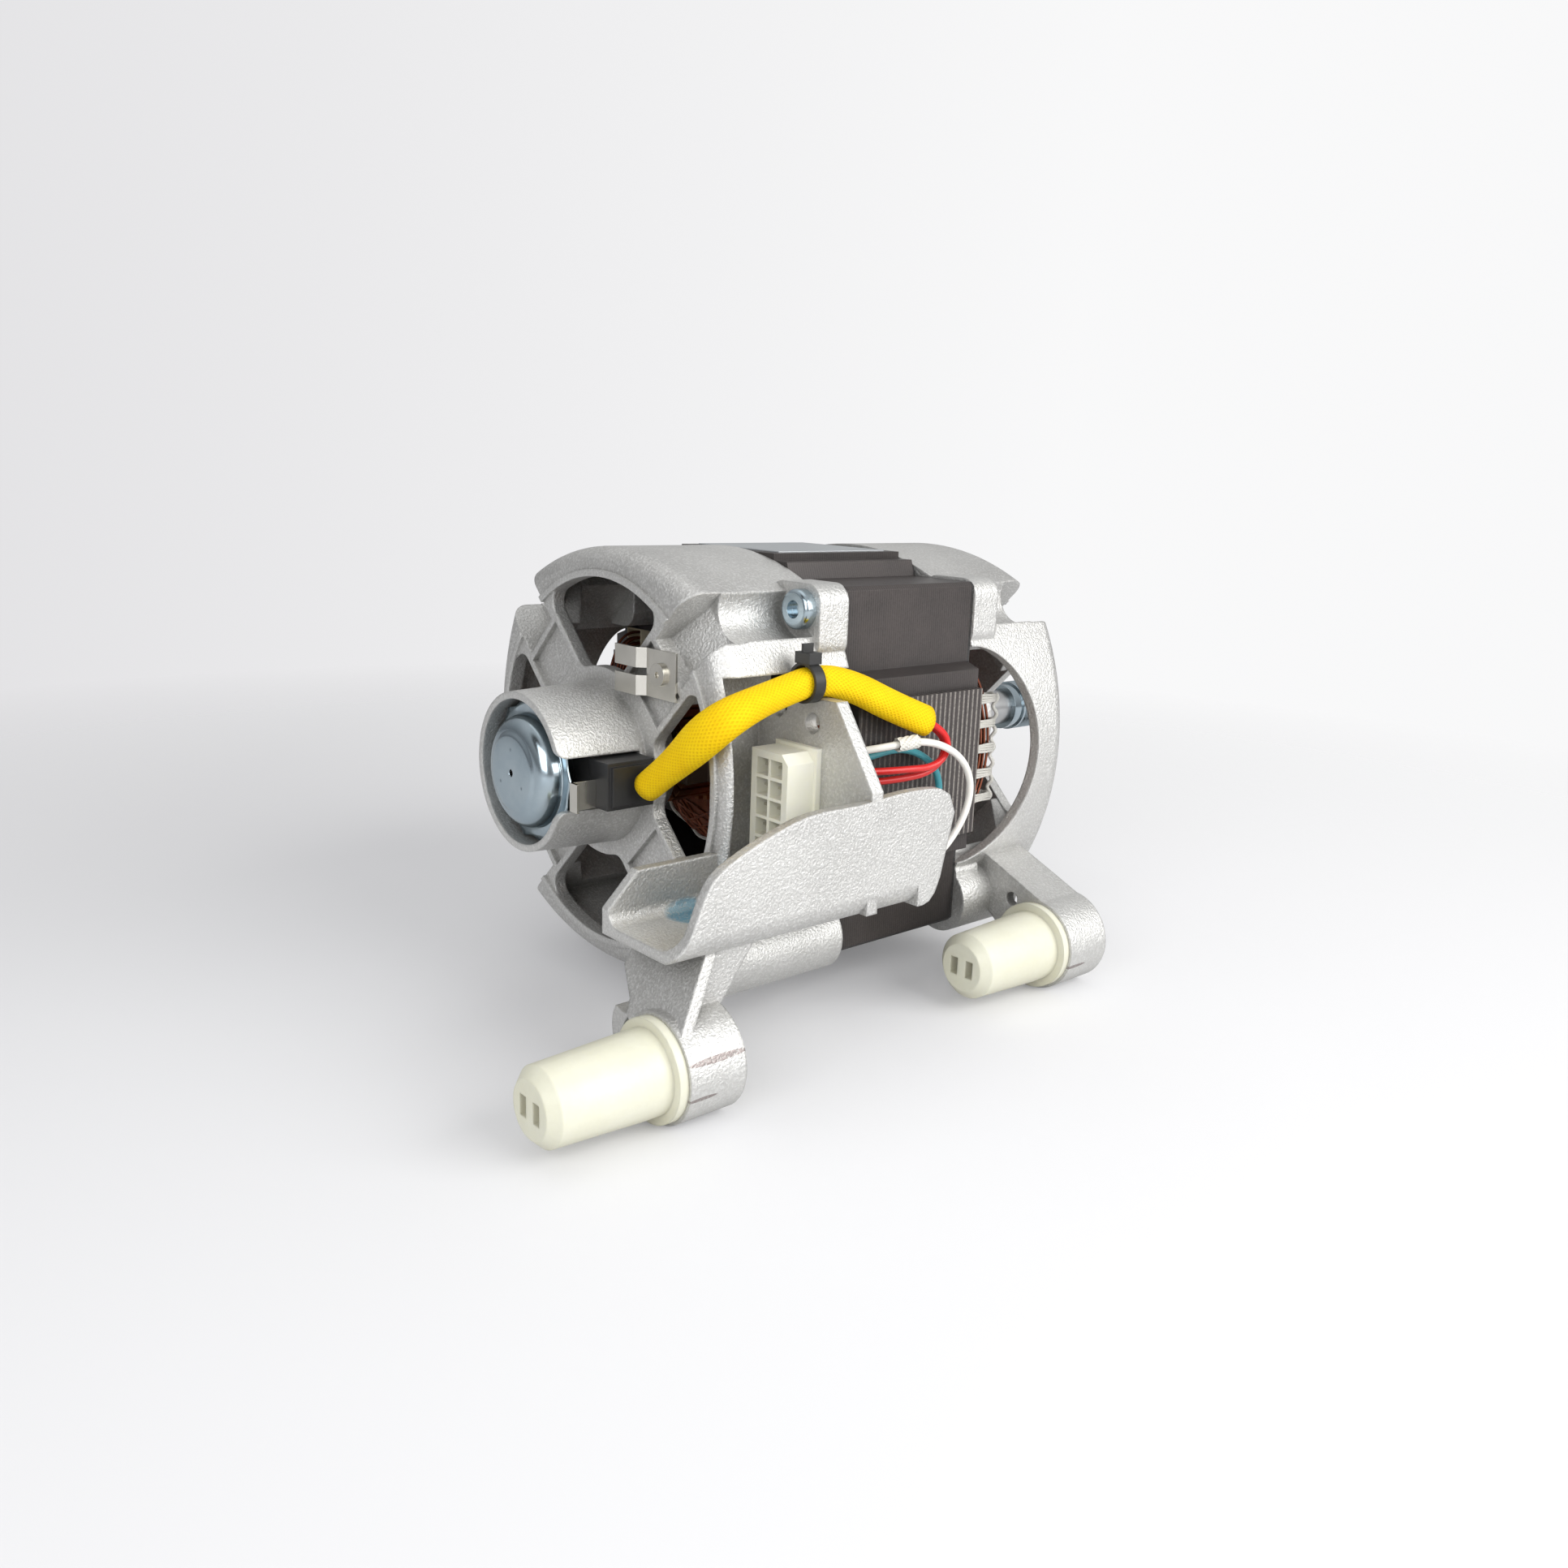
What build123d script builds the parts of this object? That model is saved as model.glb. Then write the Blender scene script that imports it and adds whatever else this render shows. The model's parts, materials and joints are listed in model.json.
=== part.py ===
from build123d import *
import math
import os

# Universal motor of a washing machine: two cast shields on a laminated stack, brush gear,
# speed sensor in a cup at the back, grooved pulley at the front, two nylon pegs as feet.
# Millimetres. +X is the shaft axis towards the pulley, -Y the side with the connector, +Z up.
# The origin is on the shaft axis in the pulley's end face.

# Lengths along the shaft, from the pulley backwards
PULLEY_LENGTH = 25.0
BARE_SHAFT = 33.0
HUB_NOSE = 12.0
FRONT_DEPTH = 48.0
STACK_LENGTH = 60.0
REAR_DEPTH = 51.0
CUP_DEPTH = 30.7

# Clearances and one overrun for every cut
OVER = 2.0
RUN_GAP = 0.05
LOOSE = 0.3
TOUCH_GAP = 0.1

# Laminated stack
BLOCK_HALF = 61.0
BLOCK_CHAMFER = 1.3
STEP_OUT = 5.5
STEP_HALF = BLOCK_HALF + STEP_OUT
STEP_LOW = 34.0
STEP_TOP = 32.0
BAND_OUT = 2.4
BAND_HALF = STEP_HALF + BAND_OUT
BAND_EDGE = 25.5
BORE_R = 38.0
YOKE_R = 53.0
POLE_HALF = 12.5
SHOE_HALF = 31.0
SLOT_Y_IN = 49.0
SLOT_Y_OUT = 58.0
SLOT_MOUTH_Y = 36.0
SLOT_Z = 35.5
SCREW_OFFSET = 54.0
STACK_HOLE_R = 2.9
GASKET_THICK = 1.0
GASKET_R = 57.0
GASKET_CLEAR_Y = 59.0
GASKET_CLEAR_Z = 37.0
LABEL_THICK = 0.4
LABEL_LENGTH = 50.0
LABEL_WIDTH = 44.0

# Bell of both shields
SIDE_ARC_R = 100.0
SIDE_REACH = 70.0
BELL_WALL = 4.0
FACE_WALL = 4.5
FACE_ROUND = 7.0
ARM_HALF = 13.0
WINDOW_R_IN = 31.5
WINDOW_R_OUT = 60.5
WINDOW_ROUND = 5.0
RIDGE_WIDTH = 2.2
RIDGE_HEIGHT = 2.0
CROSS_ALONG = 51.4
RIM_WIDTH = 2.3
RIM_HEIGHT = 1.0
TROUGH_HALF = 9.5
CASING_WALL = 3.0
CASING_ALONG = 63.9
CASING_FACE = 8.0
CASING_SLOPE = 8.0
POCKET_DEPTH = 6.0
POCKET_SLOPE = 7.0
POCKET_LOW = 9.5
EAR_THICK = 12.0
EAR_IN = 38.0
EAR_OUT = 62.0
EAR_ROUND = 6.0
TUNNEL_R = 12.5
FRONT_TUNNEL = 30.0
REAR_TUNNEL = 55.0
ARCH_INNER_Y = 50.0

# Front shield
FRONT_ARCH_DEPTH = 31.5
FRONT_ARCH_HALF = 39.0
FRONT_HUB_R = 24.0
FRONT_HUB_BACK = 14.0
FRONT_SEAT_BACK = 4.0
SHAFT_HOLE_R = 11.0

# Rear shield
REAR_ARCH_DEPTH = 14.0
REAR_ARCH_HALF = 35.0
REAR_TUBE_R = 20.5
REAR_TUBE_LENGTH = 16.0
REAR_LIP = 4.0
REAR_LIP_R = 12.0
CUP_BASE_R = 26.9
CUP_MOUTH_R = 25.6
CUP_WALL = 2.3
CUP_SLOT_HALF = 8.4
CUP_SLOT_ROUND = 3.0
RECESS_TOP = 36.0
RECESS_RIM = 2.0
RECESS_RIM_Y = 61.5
RECESS_Y = 44.0
RECESS_WALL = 3.5
RECESS_RUN = 13.0

# Bracket plate for the plug housing, on the rear shield
PLATE_BACK = 20.0
PLATE_THICK = 4.5
PLATE_OUTLINE = ((40.5, 22.0), (57.0, 23.0), (59.0, 29.1), (79.4, 29.1), (96.3, 4.8), (96.3, -33.0),
                 (40.5, -33.0))
NOTCH_Y = 53.5
NOTCH_R = 2.2
NOTCH_Z = 23.0
PLATE_HOLE_Y = 69.2
PLATE_HOLE_Z = 21.2
PLATE_HOLE_R = 3.2

# Cable tray: height of the near wall over the floor, at distances behind the stack
TRAY_WALL = 3.2
TRAY_NEAR_Y = 96.5
TRAY_BACK_Y = 60.0
TRAY_FLOOR_Z = -31.0
TRAY_REAR = 38.5
TRAY_LINE = ((0.0, 0.0), (6.5, 11.0), (11.5, 20.0), (18.5, 24.3), (31.0, 29.1), (45.8, 32.7),
             (64.9, 33.0), (78.5, 34.0), (99.0, 33.4), (103.4, 31.0), (106.1, 25.0), (101.2, 4.5),
             (99.2, 0.0), (96.8, -2.4), (94.0, -3.2))
TRAY_SMOOTH = 9
TRAY_NEAR_ROUND = 6.0
TRAY_FLOOR_ROUND = 4.0
TRAY_FLOOR_GAP = 1.6
TRAY_FLOOR_CLEAR_Y = BAND_HALF + TRAY_FLOOR_GAP
TRAY_BACK_HEIGHT = 14.5
TRAY_BACK_ROUND = 10.0

# Feet
TABLE_Z = -81.0
PEG_Y = 87.8
BOSS_R = 16.0
REAR_BOSS_BACK = 39.0
REAR_BOSS_LENGTH = 19.0
FRONT_BOSS_START = 15.0
FRONT_BOSS_LENGTH = 20.0
LEG_WEB = 4.0
REAR_LEG_TOP = 25.0
REAR_LEG_RUN = 12.5
REAR_LEG_OUTLINE = ((62.0, -32.0), (91.0, -32.0), (97.5, -52.0), (102.0, -60.0), (77.0, -61.0), (71.7, -50.5),
                    (62.5, -44.0))
GUSSET_Y = 88.0
GUSSET_LOW_Z = -52.0
GUSSET_FRONT = 6.0
SIDE_BOSS_R = 12.0
SIDE_BOSS_BORE_R = 6.0
SIDE_BOSS_Y = 60.0
SIDE_BOSS_BACK = 27.0
SIDE_BOSS_LENGTH = 14.0
SIDE_BOSS_Z = -69.0
SIDE_RIB_HALF = 3.0
SIDE_RIB_LOW_Z = -62.5
SIDE_RIB_TOP_Z = -44.0
FAR_BOSS_Y = 52.0
FAR_BOSS_START = 1.0
FAR_BOSS_LENGTH = EAR_THICK - FAR_BOSS_START
FRONT_LEG_OUTLINE = ((56.0, -36.0), (63.0, -38.0), (98.0, -52.8), (87.8, -66.0), (72.0, -64.0), (58.0, -52.0))
FRONT_STRAP_OUTLINE = ((60.0, -36.8), (97.5, -52.4), (97.5, -57.0), (60.0, -41.0))
FRONT_LEG_HOLE_R = 2.5
FRONT_LEG_HOLE_Y = 76.0
FRONT_LEG_HOLE_Z = -51.5

# Nylon pegs
PEG_SHANK_R = 9.5
PEG_FLANGE_R = 15.0
PEG_FLANGE_LENGTH = 3.0
PEG_BODY_R = 12.3
PEG_NOSE_R = 11.2
PEG_LENGTH = 39.5
PEG_NOSE_CHAMFER = 3.0
PEG_COLLAR_LENGTH = 6.0
PEG_SLOT_WIDTH = 3.0
PEG_SLOT_HEIGHT = 6.0
PEG_SLOT_DEPTH = 8.0
PEG_SLOT_APART = 6.5

# Shaft and pulley
SHAFT_R = 7.5
REAR_SHAFT_R = 6.0
SENSOR_SHAFT_R = 4.0
SHAFT_INSET = 1.0
PULLEY_R = 10.3
COLLAR_R = 9.6
COLLAR_LENGTH = 5.0
RIB_COUNT = 8
PULLEY_RIB_DEPTH = 1.3
PULLEY_LAND = 1.2
PULLEY_SINK = 3.0
PULLEY_SINK_R = 8.2

# Armature
AIR_GAP = 0.5
TEETH = 12
ARM_SLOT_IN = 17.0
ARM_SLOT_OUT = 35.0
ARM_SLOT_HALF = 4.0
ARM_SLOT_MOUTH = 1.6
ARM_BAR_GAP = 0.3
ENDTURN_FRONT = 22.0
ENDTURN_REAR = 7.5
ENDTURN_R = 34.0
ENDTURN_TIP_R = 22.0
ENDTURN_ROUND = 4.0

# Commutator
COMM_R = 17.0
COMM_START = 8.0
COMM_CLEAR = 7.0
COMM_LENGTH = REAR_DEPTH - REAR_TUBE_LENGTH - COMM_START - COMM_CLEAR
COMM_BAR_THICK = 3.0
COMM_BARS = 24
COMM_SLIT = 0.5
COMM_HOOK_LENGTH = 2.5
COMM_HOOK_R = 18.6

# Ball bearings
FRONT_BEARING_R = 17.5
FRONT_BEARING_W = 11.0
REAR_BEARING_R = 16.0
REAR_BEARING_W = 10.0
BALL_SHARE = 0.28
SHOULDER_SHARE = 0.46
BALLS = 8
CAGE_THICK = 1.2
CAGE_WIDTH = 7.0
SEAL_THICK = 0.8
WASHER_THICK = 0.4
WASHER_GAP = 1.3
WASHER_IN_R = 12.4

# Brush gear
BRUSH_SHARE = 0.55
BRUSH_X = COMM_START + COMM_LENGTH * BRUSH_SHARE
BRUSH_W = COMM_LENGTH * BRUSH_SHARE
BRUSH_T = 5.5
BRUSH_LENGTH = 12.0
HOLDER_WALL = 2.0
HOLDER_LENGTH = 21.0
HOLDER_START = 1.5
HOLDER_CAP = 1.2
HOLDER_FOOT_HALF = 5.0
HOLDER_FOOT_HIGH = 8.0
SPRING_WIRE = 0.5
SPRING_R = 2.0
SPRING_CURLS = 5

# Field coils
COIL_WIRE = 1.0
COIL_LOOPS = 9
COIL_LAYER_PITCH = 1.6
COIL_SIDE_PITCH = 2.1
COIL_FRONT_PITCH = 1.95
COIL_REAR_PITCH = 1.42
COIL_Y = 53.0
COIL_INNER_Z = 15.0
COIL_FRONT_START = 4.0
COIL_REAR_START = 1.0
COIL_ROUND_SHARE = 0.62
LACE_THICK = 0.8
LACE_WIDTH = 3.0
LACE_START = 0.7
LACE_SPAN = 11.0
LACES = 4
LINER_THICK = 0.4
LINER_REACH = 1.0

# Speed sensor
MAGNET_R = 11.0
MAGNET_LENGTH = 10.0
MAGNET_START = 5.0
RING_R = 23.4
RING_IN = 12.0
RING_LENGTH = 15.0
RING_START = 3.0
CAP_RIM_R = 23.2
CAP_DOME_R = 17.5
CAP_TOP_R = 12.0
CAP_DOME_HEIGHT = 8.0
CAP_STEP = 3.5
CAP_SHEET = 0.8
CAP_HOLE_R = 1.2
CAP_DIMPLE_R = 2.4
CAP_DIMPLE_DEPTH = 0.5
CAP_DIMPLE_OFF = 7.5
CAP_PETALS = 20
CAP_NOTCH_R = 1.4
PLUG_HALF = 7.4
PLUG_OUT_Y = 33.0
PLUG_FRONT = 2.0
PLUG_REAR = 19.0
PLUG_STEP = 1.2
PLUG_TAIL = 5.0
PLUG_TAIL_R = 2.6
PLUG_TAIL_X = 5.2
CLIP_HEIGHT = 9.0
CLIP_LENGTH = 9.0
CLIP_Y = 26.0
CLIP_Z = -3.0
CLIP_SHEET = 0.8
CLIP_LEG = 4.0

# Earth terminal
EARTH_SHEET = 0.8
EARTH_Y_IN = 27.0
EARTH_Y_OUT = 42.0
EARTH_Z_LOW = 26.0
EARTH_Z_TOP = 41.0
EARTH_TAB = 6.3
EARTH_TAB_END = 13.0
EARTH_TAB_LIFT = 2.4
RIVET_Y = 34.0
RIVET_Z = 33.5
RIVET_R = 2.0
RIVET_HEAD_R = 3.6
RIVET_HEAD = 1.2

# Plug housing
PLUG_Y_IN = 55.6
PLUG_Y_OUT = 73.0
PLUG_Z_TOP = 13.2
PLUG_Z_LOW = -23.0
HOUSING_OUT = 12.5
HOUSING_IN = 8.0
HOUSING_LIP = 1.2
HOUSING_LIP_LENGTH = 2.0
HOUSING_CHAMFER = 3.0
HOUSING_FLOOR = 3.0
HOUSING_COLUMNS = 2
HOUSING_ROWS = 5
HOUSING_PITCH = 6.35
CELL_SIZE = 5.3
BLADE_W = 4.8
BLADE_T = 0.8
BLADE_INSET = 3.0
BLADE_TAIL = 0.6

# Leads and sleeves: points from the stack's rear face, the axis and the table's upward line
SLEEVE_SIDE = 70.0
SLEEVE_CLEAR = 1.1
SLEEVE_D = 9.0
SLEEVE_BORE = 7.4
WIRE_D = 2.4
BRAID_D = 4.6
BRAID_BORE = 2.8
BRAID_START = 2.0
BRAID_LENGTH = 10.0
BEND_SHARE = 0.45
SLEEVE_LINE = ((-58.2, -37.2, -0.3), (-57.6, -51.3, 10.0), (-57.8, -64.9, 20.9), (-52.0, -71.0, 27.7),
               (-33.5, -68.4, 31.4), (-18.5, -69.8, 35.0), (-6.0, -72.6, 31.8), (8.5, -75.1, 24.6),
               (22.0, -76.9, 19.2))
RED_LINE_A = ((15.5, -74.7, 21.8), (28.5, -76.4, 16.6), (34.2, -76.6, 8.5), (27.5, -76.4, 1.5), (13.0, -75.0, 0.5),
              (0.0, -71.6, 0.3), (-11.0, -65.6, 0.6))
RED_LINE_B = ((15.5, -77.4, 21.8), (27.5, -79.2, 17.0), (31.7, -79.6, 9.5), (25.5, -79.6, 4.0), (12.0, -79.0, 4.6),
              (0.0, -75.4, 4.6), (-11.0, -69.4, 4.9))
WHITE_LINE = ((-11.0, -68.0, 9.6), (2.0, -79.0, 13.0), (17.0, -82.6, 14.6), (32.4, -83.2, 8.5),
              (40.2, -83.0, -2.0), (37.0, -83.5, -14.0), (23.0, -85.0, -25.0), (6.0, -84.0, -29.6),
              (-3.5, -74.0, -24.0), (-11.0, -67.6, -15.0))
BLUE_LINE = ((-11.0, -61.2, 5.2), (-3.0, -72.4, 8.0), (15.0, -73.0, 10.8), (29.0, -73.0, 5.5),
             (35.5, -73.2, -3.0), (32.0, -75.0, -14.0), (20.0, -78.2, -24.0), (5.0, -76.5, -29.6),
             (-4.0, -68.0, -24.0), (-11.0, -61.3, -15.0))
TIE_W = 4.0
TIE_T = 1.0
TIE_HEAD = 6.5
TIE_BACK = 21.0
TIE_IN = 0.6
TIE_Z = 33.95
TIE_GAP = 0.75

# Screws
SCREW_R = 2.5
SCREW_HEAD_R = 6.3
SCREW_HEAD = 4.2
SCREW_HEAD_ROUND = 1.6
SCREW_SOCKET_R = 2.8
SCREW_SOCKET = 2.2
SCREW_BITE = 10.0

# Places worked out from the above
SIDE_Y = max(SIDE_REACH, BAND_HALF + SLEEVE_CLEAR)
LEADS_OUT = SIDE_Y - SLEEVE_SIDE
TIE_Y = SIDE_Y - TIE_IN
X_PULLEY = -PULLEY_LENGTH
X_NOSE = X_PULLEY - BARE_SHAFT
X_FRONT = X_NOSE - HUB_NOSE
X_STACK_F = X_FRONT - FRONT_DEPTH
X_STACK_R = X_STACK_F - STACK_LENGTH
X_REAR = X_STACK_R - REAR_DEPTH
X_MOUTH = X_REAR - CUP_DEPTH
PEG_Z = TABLE_Z + BOSS_R
SCREW_ALONG = SCREW_OFFSET * math.sqrt(2)
NEAR_TOP, NEAR_LOW, FAR_LOW, FAR_TOP = 45, 135, 225, 315
BRUSH_MID = X_STACK_R - BRUSH_X
os.makedirs("parts", exist_ok=True)


def prism(sketch, x0, x1):
    return extrude(Plane.YZ.offset(x0) * sketch, amount=x1 - x0)


def rod(radius, x0, x1, y=0, z=0):
    return prism(Pos(y, z) * Circle(radius), x0, x1)


def pipe(outer, inner, x0, x1, y=0, z=0):
    return prism(Pos(y, z) * (Circle(outer) - Circle(inner)), x0, x1)


def block(x0, x1, y0, y1, z0, z1):
    middle = Pos((x0 + x1) / 2, (y0 + y1) / 2, (z0 + z1) / 2)
    return middle * Box(abs(x1 - x0), abs(y1 - y0), abs(z1 - z0))


def side_cut(sketch, y0, y1):
    # a sketch in X and Z, drawn out from y0 down to y1
    return extrude(Plane.XZ.offset(-y0) * sketch, amount=y0 - y1)


def floor_cut(sketch, z0, z1):
    # a sketch in X and Y, drawn up from z0 to z1
    return extrude(Plane.XY.offset(z0) * sketch, amount=z1 - z0)


def polygon(*points):
    return make_face(Polyline(*points, close=True))


def near_outline(points):
    # a table of distances to the near side and heights
    return polygon(*[(-y, z) for y, z in points])


def turned(*points):
    # a profile in X and radius, turned round the shaft axis
    return revolve(Plane.XZ * polygon(*points), Axis.X)


def one(shape):
    # the largest solid of a cut shape
    return shape.solids().sort_by(SortBy.VOLUME)[-1]


def save(shape, name):
    solids = shape.solids()
    whole = solids[0] if len(solids) == 1 else Compound(children=list(solids))
    export_step(whole, "parts/" + name + ".step")
    print(name, len(solids), "solids", round(sum(s.volume for s in solids)), "mm3")


def bell_outline(reach, arc):
    # four wide arcs that meet on the diagonals
    shift = arc - reach
    sketch = Pos(shift, 0) * Circle(arc)
    for y, z in ((-shift, 0), (0, shift), (0, -shift)):
        sketch = sketch & Pos(y, z) * Circle(arc)
    return sketch


def at_corner(solid, angle):
    # a corner feature is drawn above the axis and turned to its diagonal
    return Rot(angle, 0, 0) * solid


def corner_profile(points, half):
    return side_cut(polygon(*points), half, -half)


def windows(x0, x1):
    ring = Circle(WINDOW_R_OUT) - Circle(WINDOW_R_IN)
    for angle in (45, 135):
        ring = ring - Rot(0, 0, angle) * Rectangle(WINDOW_R_OUT * 3, ARM_HALF * 2)
    return prism(fillet(ring.vertices(), WINDOW_ROUND), x0, x1)


def casing(depth):
    far = SIDE_ARC_R
    low = CASING_ALONG - 2 * CASING_FACE + RUN_GAP
    return corner_profile(((0, CASING_ALONG), (depth - CASING_FACE - CASING_SLOPE, CASING_ALONG),
                           (depth - CASING_FACE, low), (depth, low), (depth, far), (0, far)),
                          TROUGH_HALF + CASING_WALL)


def ear():
    middle = (EAR_IN + EAR_OUT) / 2
    size = EAR_OUT - EAR_IN
    square = Pos(-middle, middle) * RectangleRounded(size, size, EAR_ROUND)
    return Rot(-NEAR_TOP, 0, 0) * prism(square, 0, EAR_THICK)


def trough(depth, closed):
    # the way of a screw: round about its axis, open outwards where it is not a tunnel
    cut = rod(TROUGH_HALF, EAR_THICK, depth + REAR_TUNNEL, 0, SCREW_ALONG)
    if closed < depth:
        start = max(closed, EAR_THICK)
        cut = cut + block(start, depth + OVER, -TROUGH_HALF, TROUGH_HALF, SCREW_ALONG, SIDE_ARC_R)
        low = CROSS_ALONG + RIDGE_WIDTH / 2
        high = SCREW_ALONG - POCKET_LOW
        cut = cut + corner_profile(((depth + OVER, low), (depth - POCKET_DEPTH, low),
                                    (depth - POCKET_DEPTH - POCKET_SLOPE, high),
                                    (depth - POCKET_DEPTH - POCKET_SLOPE, SCREW_ALONG),
                                    (depth + OVER, SCREW_ALONG)), TROUGH_HALF)
    return cut


def arm_channel(depth):
    start = WINDOW_R_IN + RIDGE_WIDTH
    end = CROSS_ALONG - RIDGE_WIDTH / 2
    half = ARM_HALF - RIDGE_WIDTH
    return block(depth - RIDGE_HEIGHT, depth + OVER, -half, half, start, end)


def bell(depth, arch_depth, arch_half, tunnel):
    shell = prism(bell_outline(SIDE_REACH, SIDE_ARC_R), 0, depth)
    shell = fillet(shell.edges().group_by(Axis.X)[-1], FACE_ROUND)
    solid = shell
    shell = shell - prism(bell_outline(SIDE_REACH - BELL_WALL, SIDE_ARC_R - BELL_WALL), -OVER, depth - FACE_WALL)
    arch = Ellipse(arch_depth, arch_half)
    for y in (SIDE_REACH + OVER, -ARCH_INNER_Y):
        shell = shell - side_cut(arch, y, y - (SIDE_REACH + OVER - ARCH_INNER_Y))
    shell = shell + pipe(WINDOW_R_OUT + RIM_WIDTH, WINDOW_R_OUT, depth - RIM_HEIGHT, depth + RIM_HEIGHT)
    for angle in (NEAR_TOP, NEAR_LOW, FAR_LOW, FAR_TOP):
        shell = shell + (at_corner(casing(depth), angle) & solid) + at_corner(ear(), angle)
    shell = shell + at_corner(rod(TUNNEL_R, 0, tunnel, 0, SCREW_ALONG), NEAR_LOW)
    boss_end = FAR_BOSS_START + FAR_BOSS_LENGTH
    shell = shell + rod(SIDE_BOSS_R, FAR_BOSS_START, boss_end, FAR_BOSS_Y, SIDE_BOSS_Z)
    for angle, closed in ((NEAR_TOP, 0), (NEAR_LOW, tunnel), (FAR_LOW, 0), (FAR_TOP, 0)):
        shell = shell - at_corner(trough(depth, closed), angle) - at_corner(arm_channel(depth), angle)
        shell = shell - at_corner(rod(STACK_HOLE_R, -OVER, EAR_THICK + OVER, 0, SCREW_ALONG), angle)
    shell = shell - rod(SIDE_BOSS_BORE_R, -OVER, boss_end + OVER, FAR_BOSS_Y, SIDE_BOSS_Z)
    return shell - windows(depth - 2 * FACE_WALL, depth + OVER)


def front_shield():
    depth = FRONT_DEPTH
    shell = bell(depth, FRONT_ARCH_DEPTH, FRONT_ARCH_HALF, FRONT_TUNNEL)
    shell = shell + rod(FRONT_HUB_R, depth - FRONT_HUB_BACK, depth + HUB_NOSE)
    web = prism(near_outline(FRONT_LEG_OUTLINE), FRONT_BOSS_START, FRONT_BOSS_START + LEG_WEB)
    end = FRONT_BOSS_START + FRONT_BOSS_LENGTH
    strap = prism(near_outline(FRONT_STRAP_OUTLINE), FRONT_BOSS_START, end)
    boss = rod(BOSS_R, FRONT_BOSS_START, end, -PEG_Y, PEG_Z)
    inside = prism(bell_outline(SIDE_REACH - BELL_WALL, SIDE_ARC_R - BELL_WALL), 0, depth)
    way = at_corner(rod(TROUGH_HALF, EAR_THICK, depth + OVER, 0, SCREW_ALONG), NEAR_LOW)
    shell = shell + (web + strap + boss - inside - way)
    shell = shell - rod(PEG_SHANK_R + TOUCH_GAP / 2, 0, depth, -PEG_Y, PEG_Z)
    shell = shell - rod(FRONT_LEG_HOLE_R, 0, depth, -FRONT_LEG_HOLE_Y, FRONT_LEG_HOLE_Z)
    seat = depth - FRONT_SEAT_BACK
    shell = shell - rod(FRONT_BEARING_R, 0, seat + FRONT_BEARING_W)
    shell = shell - rod(SHAFT_HOLE_R, 0, depth + HUB_NOSE + OVER)
    return one(Pos(X_STACK_F, 0, 0) * shell)


def recess(shell):
    # the near wall is drawn inwards beside the plug and left open next to the stack
    rim = REAR_DEPTH - RECESS_RIM
    run = rim - RECESS_RUN
    start = PLATE_BACK - PLATE_THICK
    within = BELL_WALL / 2
    low, high, clear = TRAY_FLOOR_Z, RECESS_TOP, SIDE_REACH + OVER
    inner_y = -RECESS_Y + RECESS_WALL
    filled = polygon((start, inner_y), (run, inner_y), (rim - within / 2, -RECESS_RIM_Y + 2 * RECESS_WALL),
                     (rim - within / 2, -clear), (start, -clear))
    filled = floor_cut(filled, low - RECESS_WALL, high + RECESS_WALL)
    filled = filled & prism(bell_outline(SIDE_REACH - within, SIDE_ARC_R - within), 0, REAR_DEPTH)
    filled = filled - windows(REAR_DEPTH - FACE_WALL - RECESS_WALL, REAR_DEPTH + OVER)
    outside = polygon((rim, -RECESS_RIM_Y), (rim - RECESS_RUN / 4, -(RECESS_RIM_Y + RECESS_Y) / 2),
                      (rim - RECESS_RUN / 2, -RECESS_Y - RECESS_WALL), (run, -RECESS_Y), (-OVER, -RECESS_Y),
                      (-OVER, -clear), (rim, -clear))
    return shell + filled - floor_cut(outside, low, high)


def cup():
    base, mouth = REAR_DEPTH, REAR_DEPTH + CUP_DEPTH
    wall = turned((base - RIDGE_HEIGHT, CUP_BASE_R), (base, CUP_BASE_R), (mouth, CUP_MOUTH_R),
                  (mouth, CUP_MOUTH_R - CUP_WALL), (base, CUP_BASE_R - CUP_WALL),
                  (base - RIDGE_HEIGHT, CUP_BASE_R - CUP_WALL))
    slot = Pos((base + OVER + mouth + OVER) / 2, 0) * Rectangle(mouth - base, 2 * CUP_SLOT_HALF)
    round_ends = Pos(mouth, 0) * Rectangle(2 * CUP_SLOT_ROUND, 2 * CUP_SLOT_HALF + 2 * CUP_SLOT_ROUND)
    for side in (-1, 1):
        middle = Pos(mouth - CUP_SLOT_ROUND, side * (CUP_SLOT_HALF + CUP_SLOT_ROUND))
        round_ends = round_ends - middle * Circle(CUP_SLOT_ROUND)
    return wall - side_cut(slot + round_ends, 0, -CUP_BASE_R - OVER)


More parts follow.
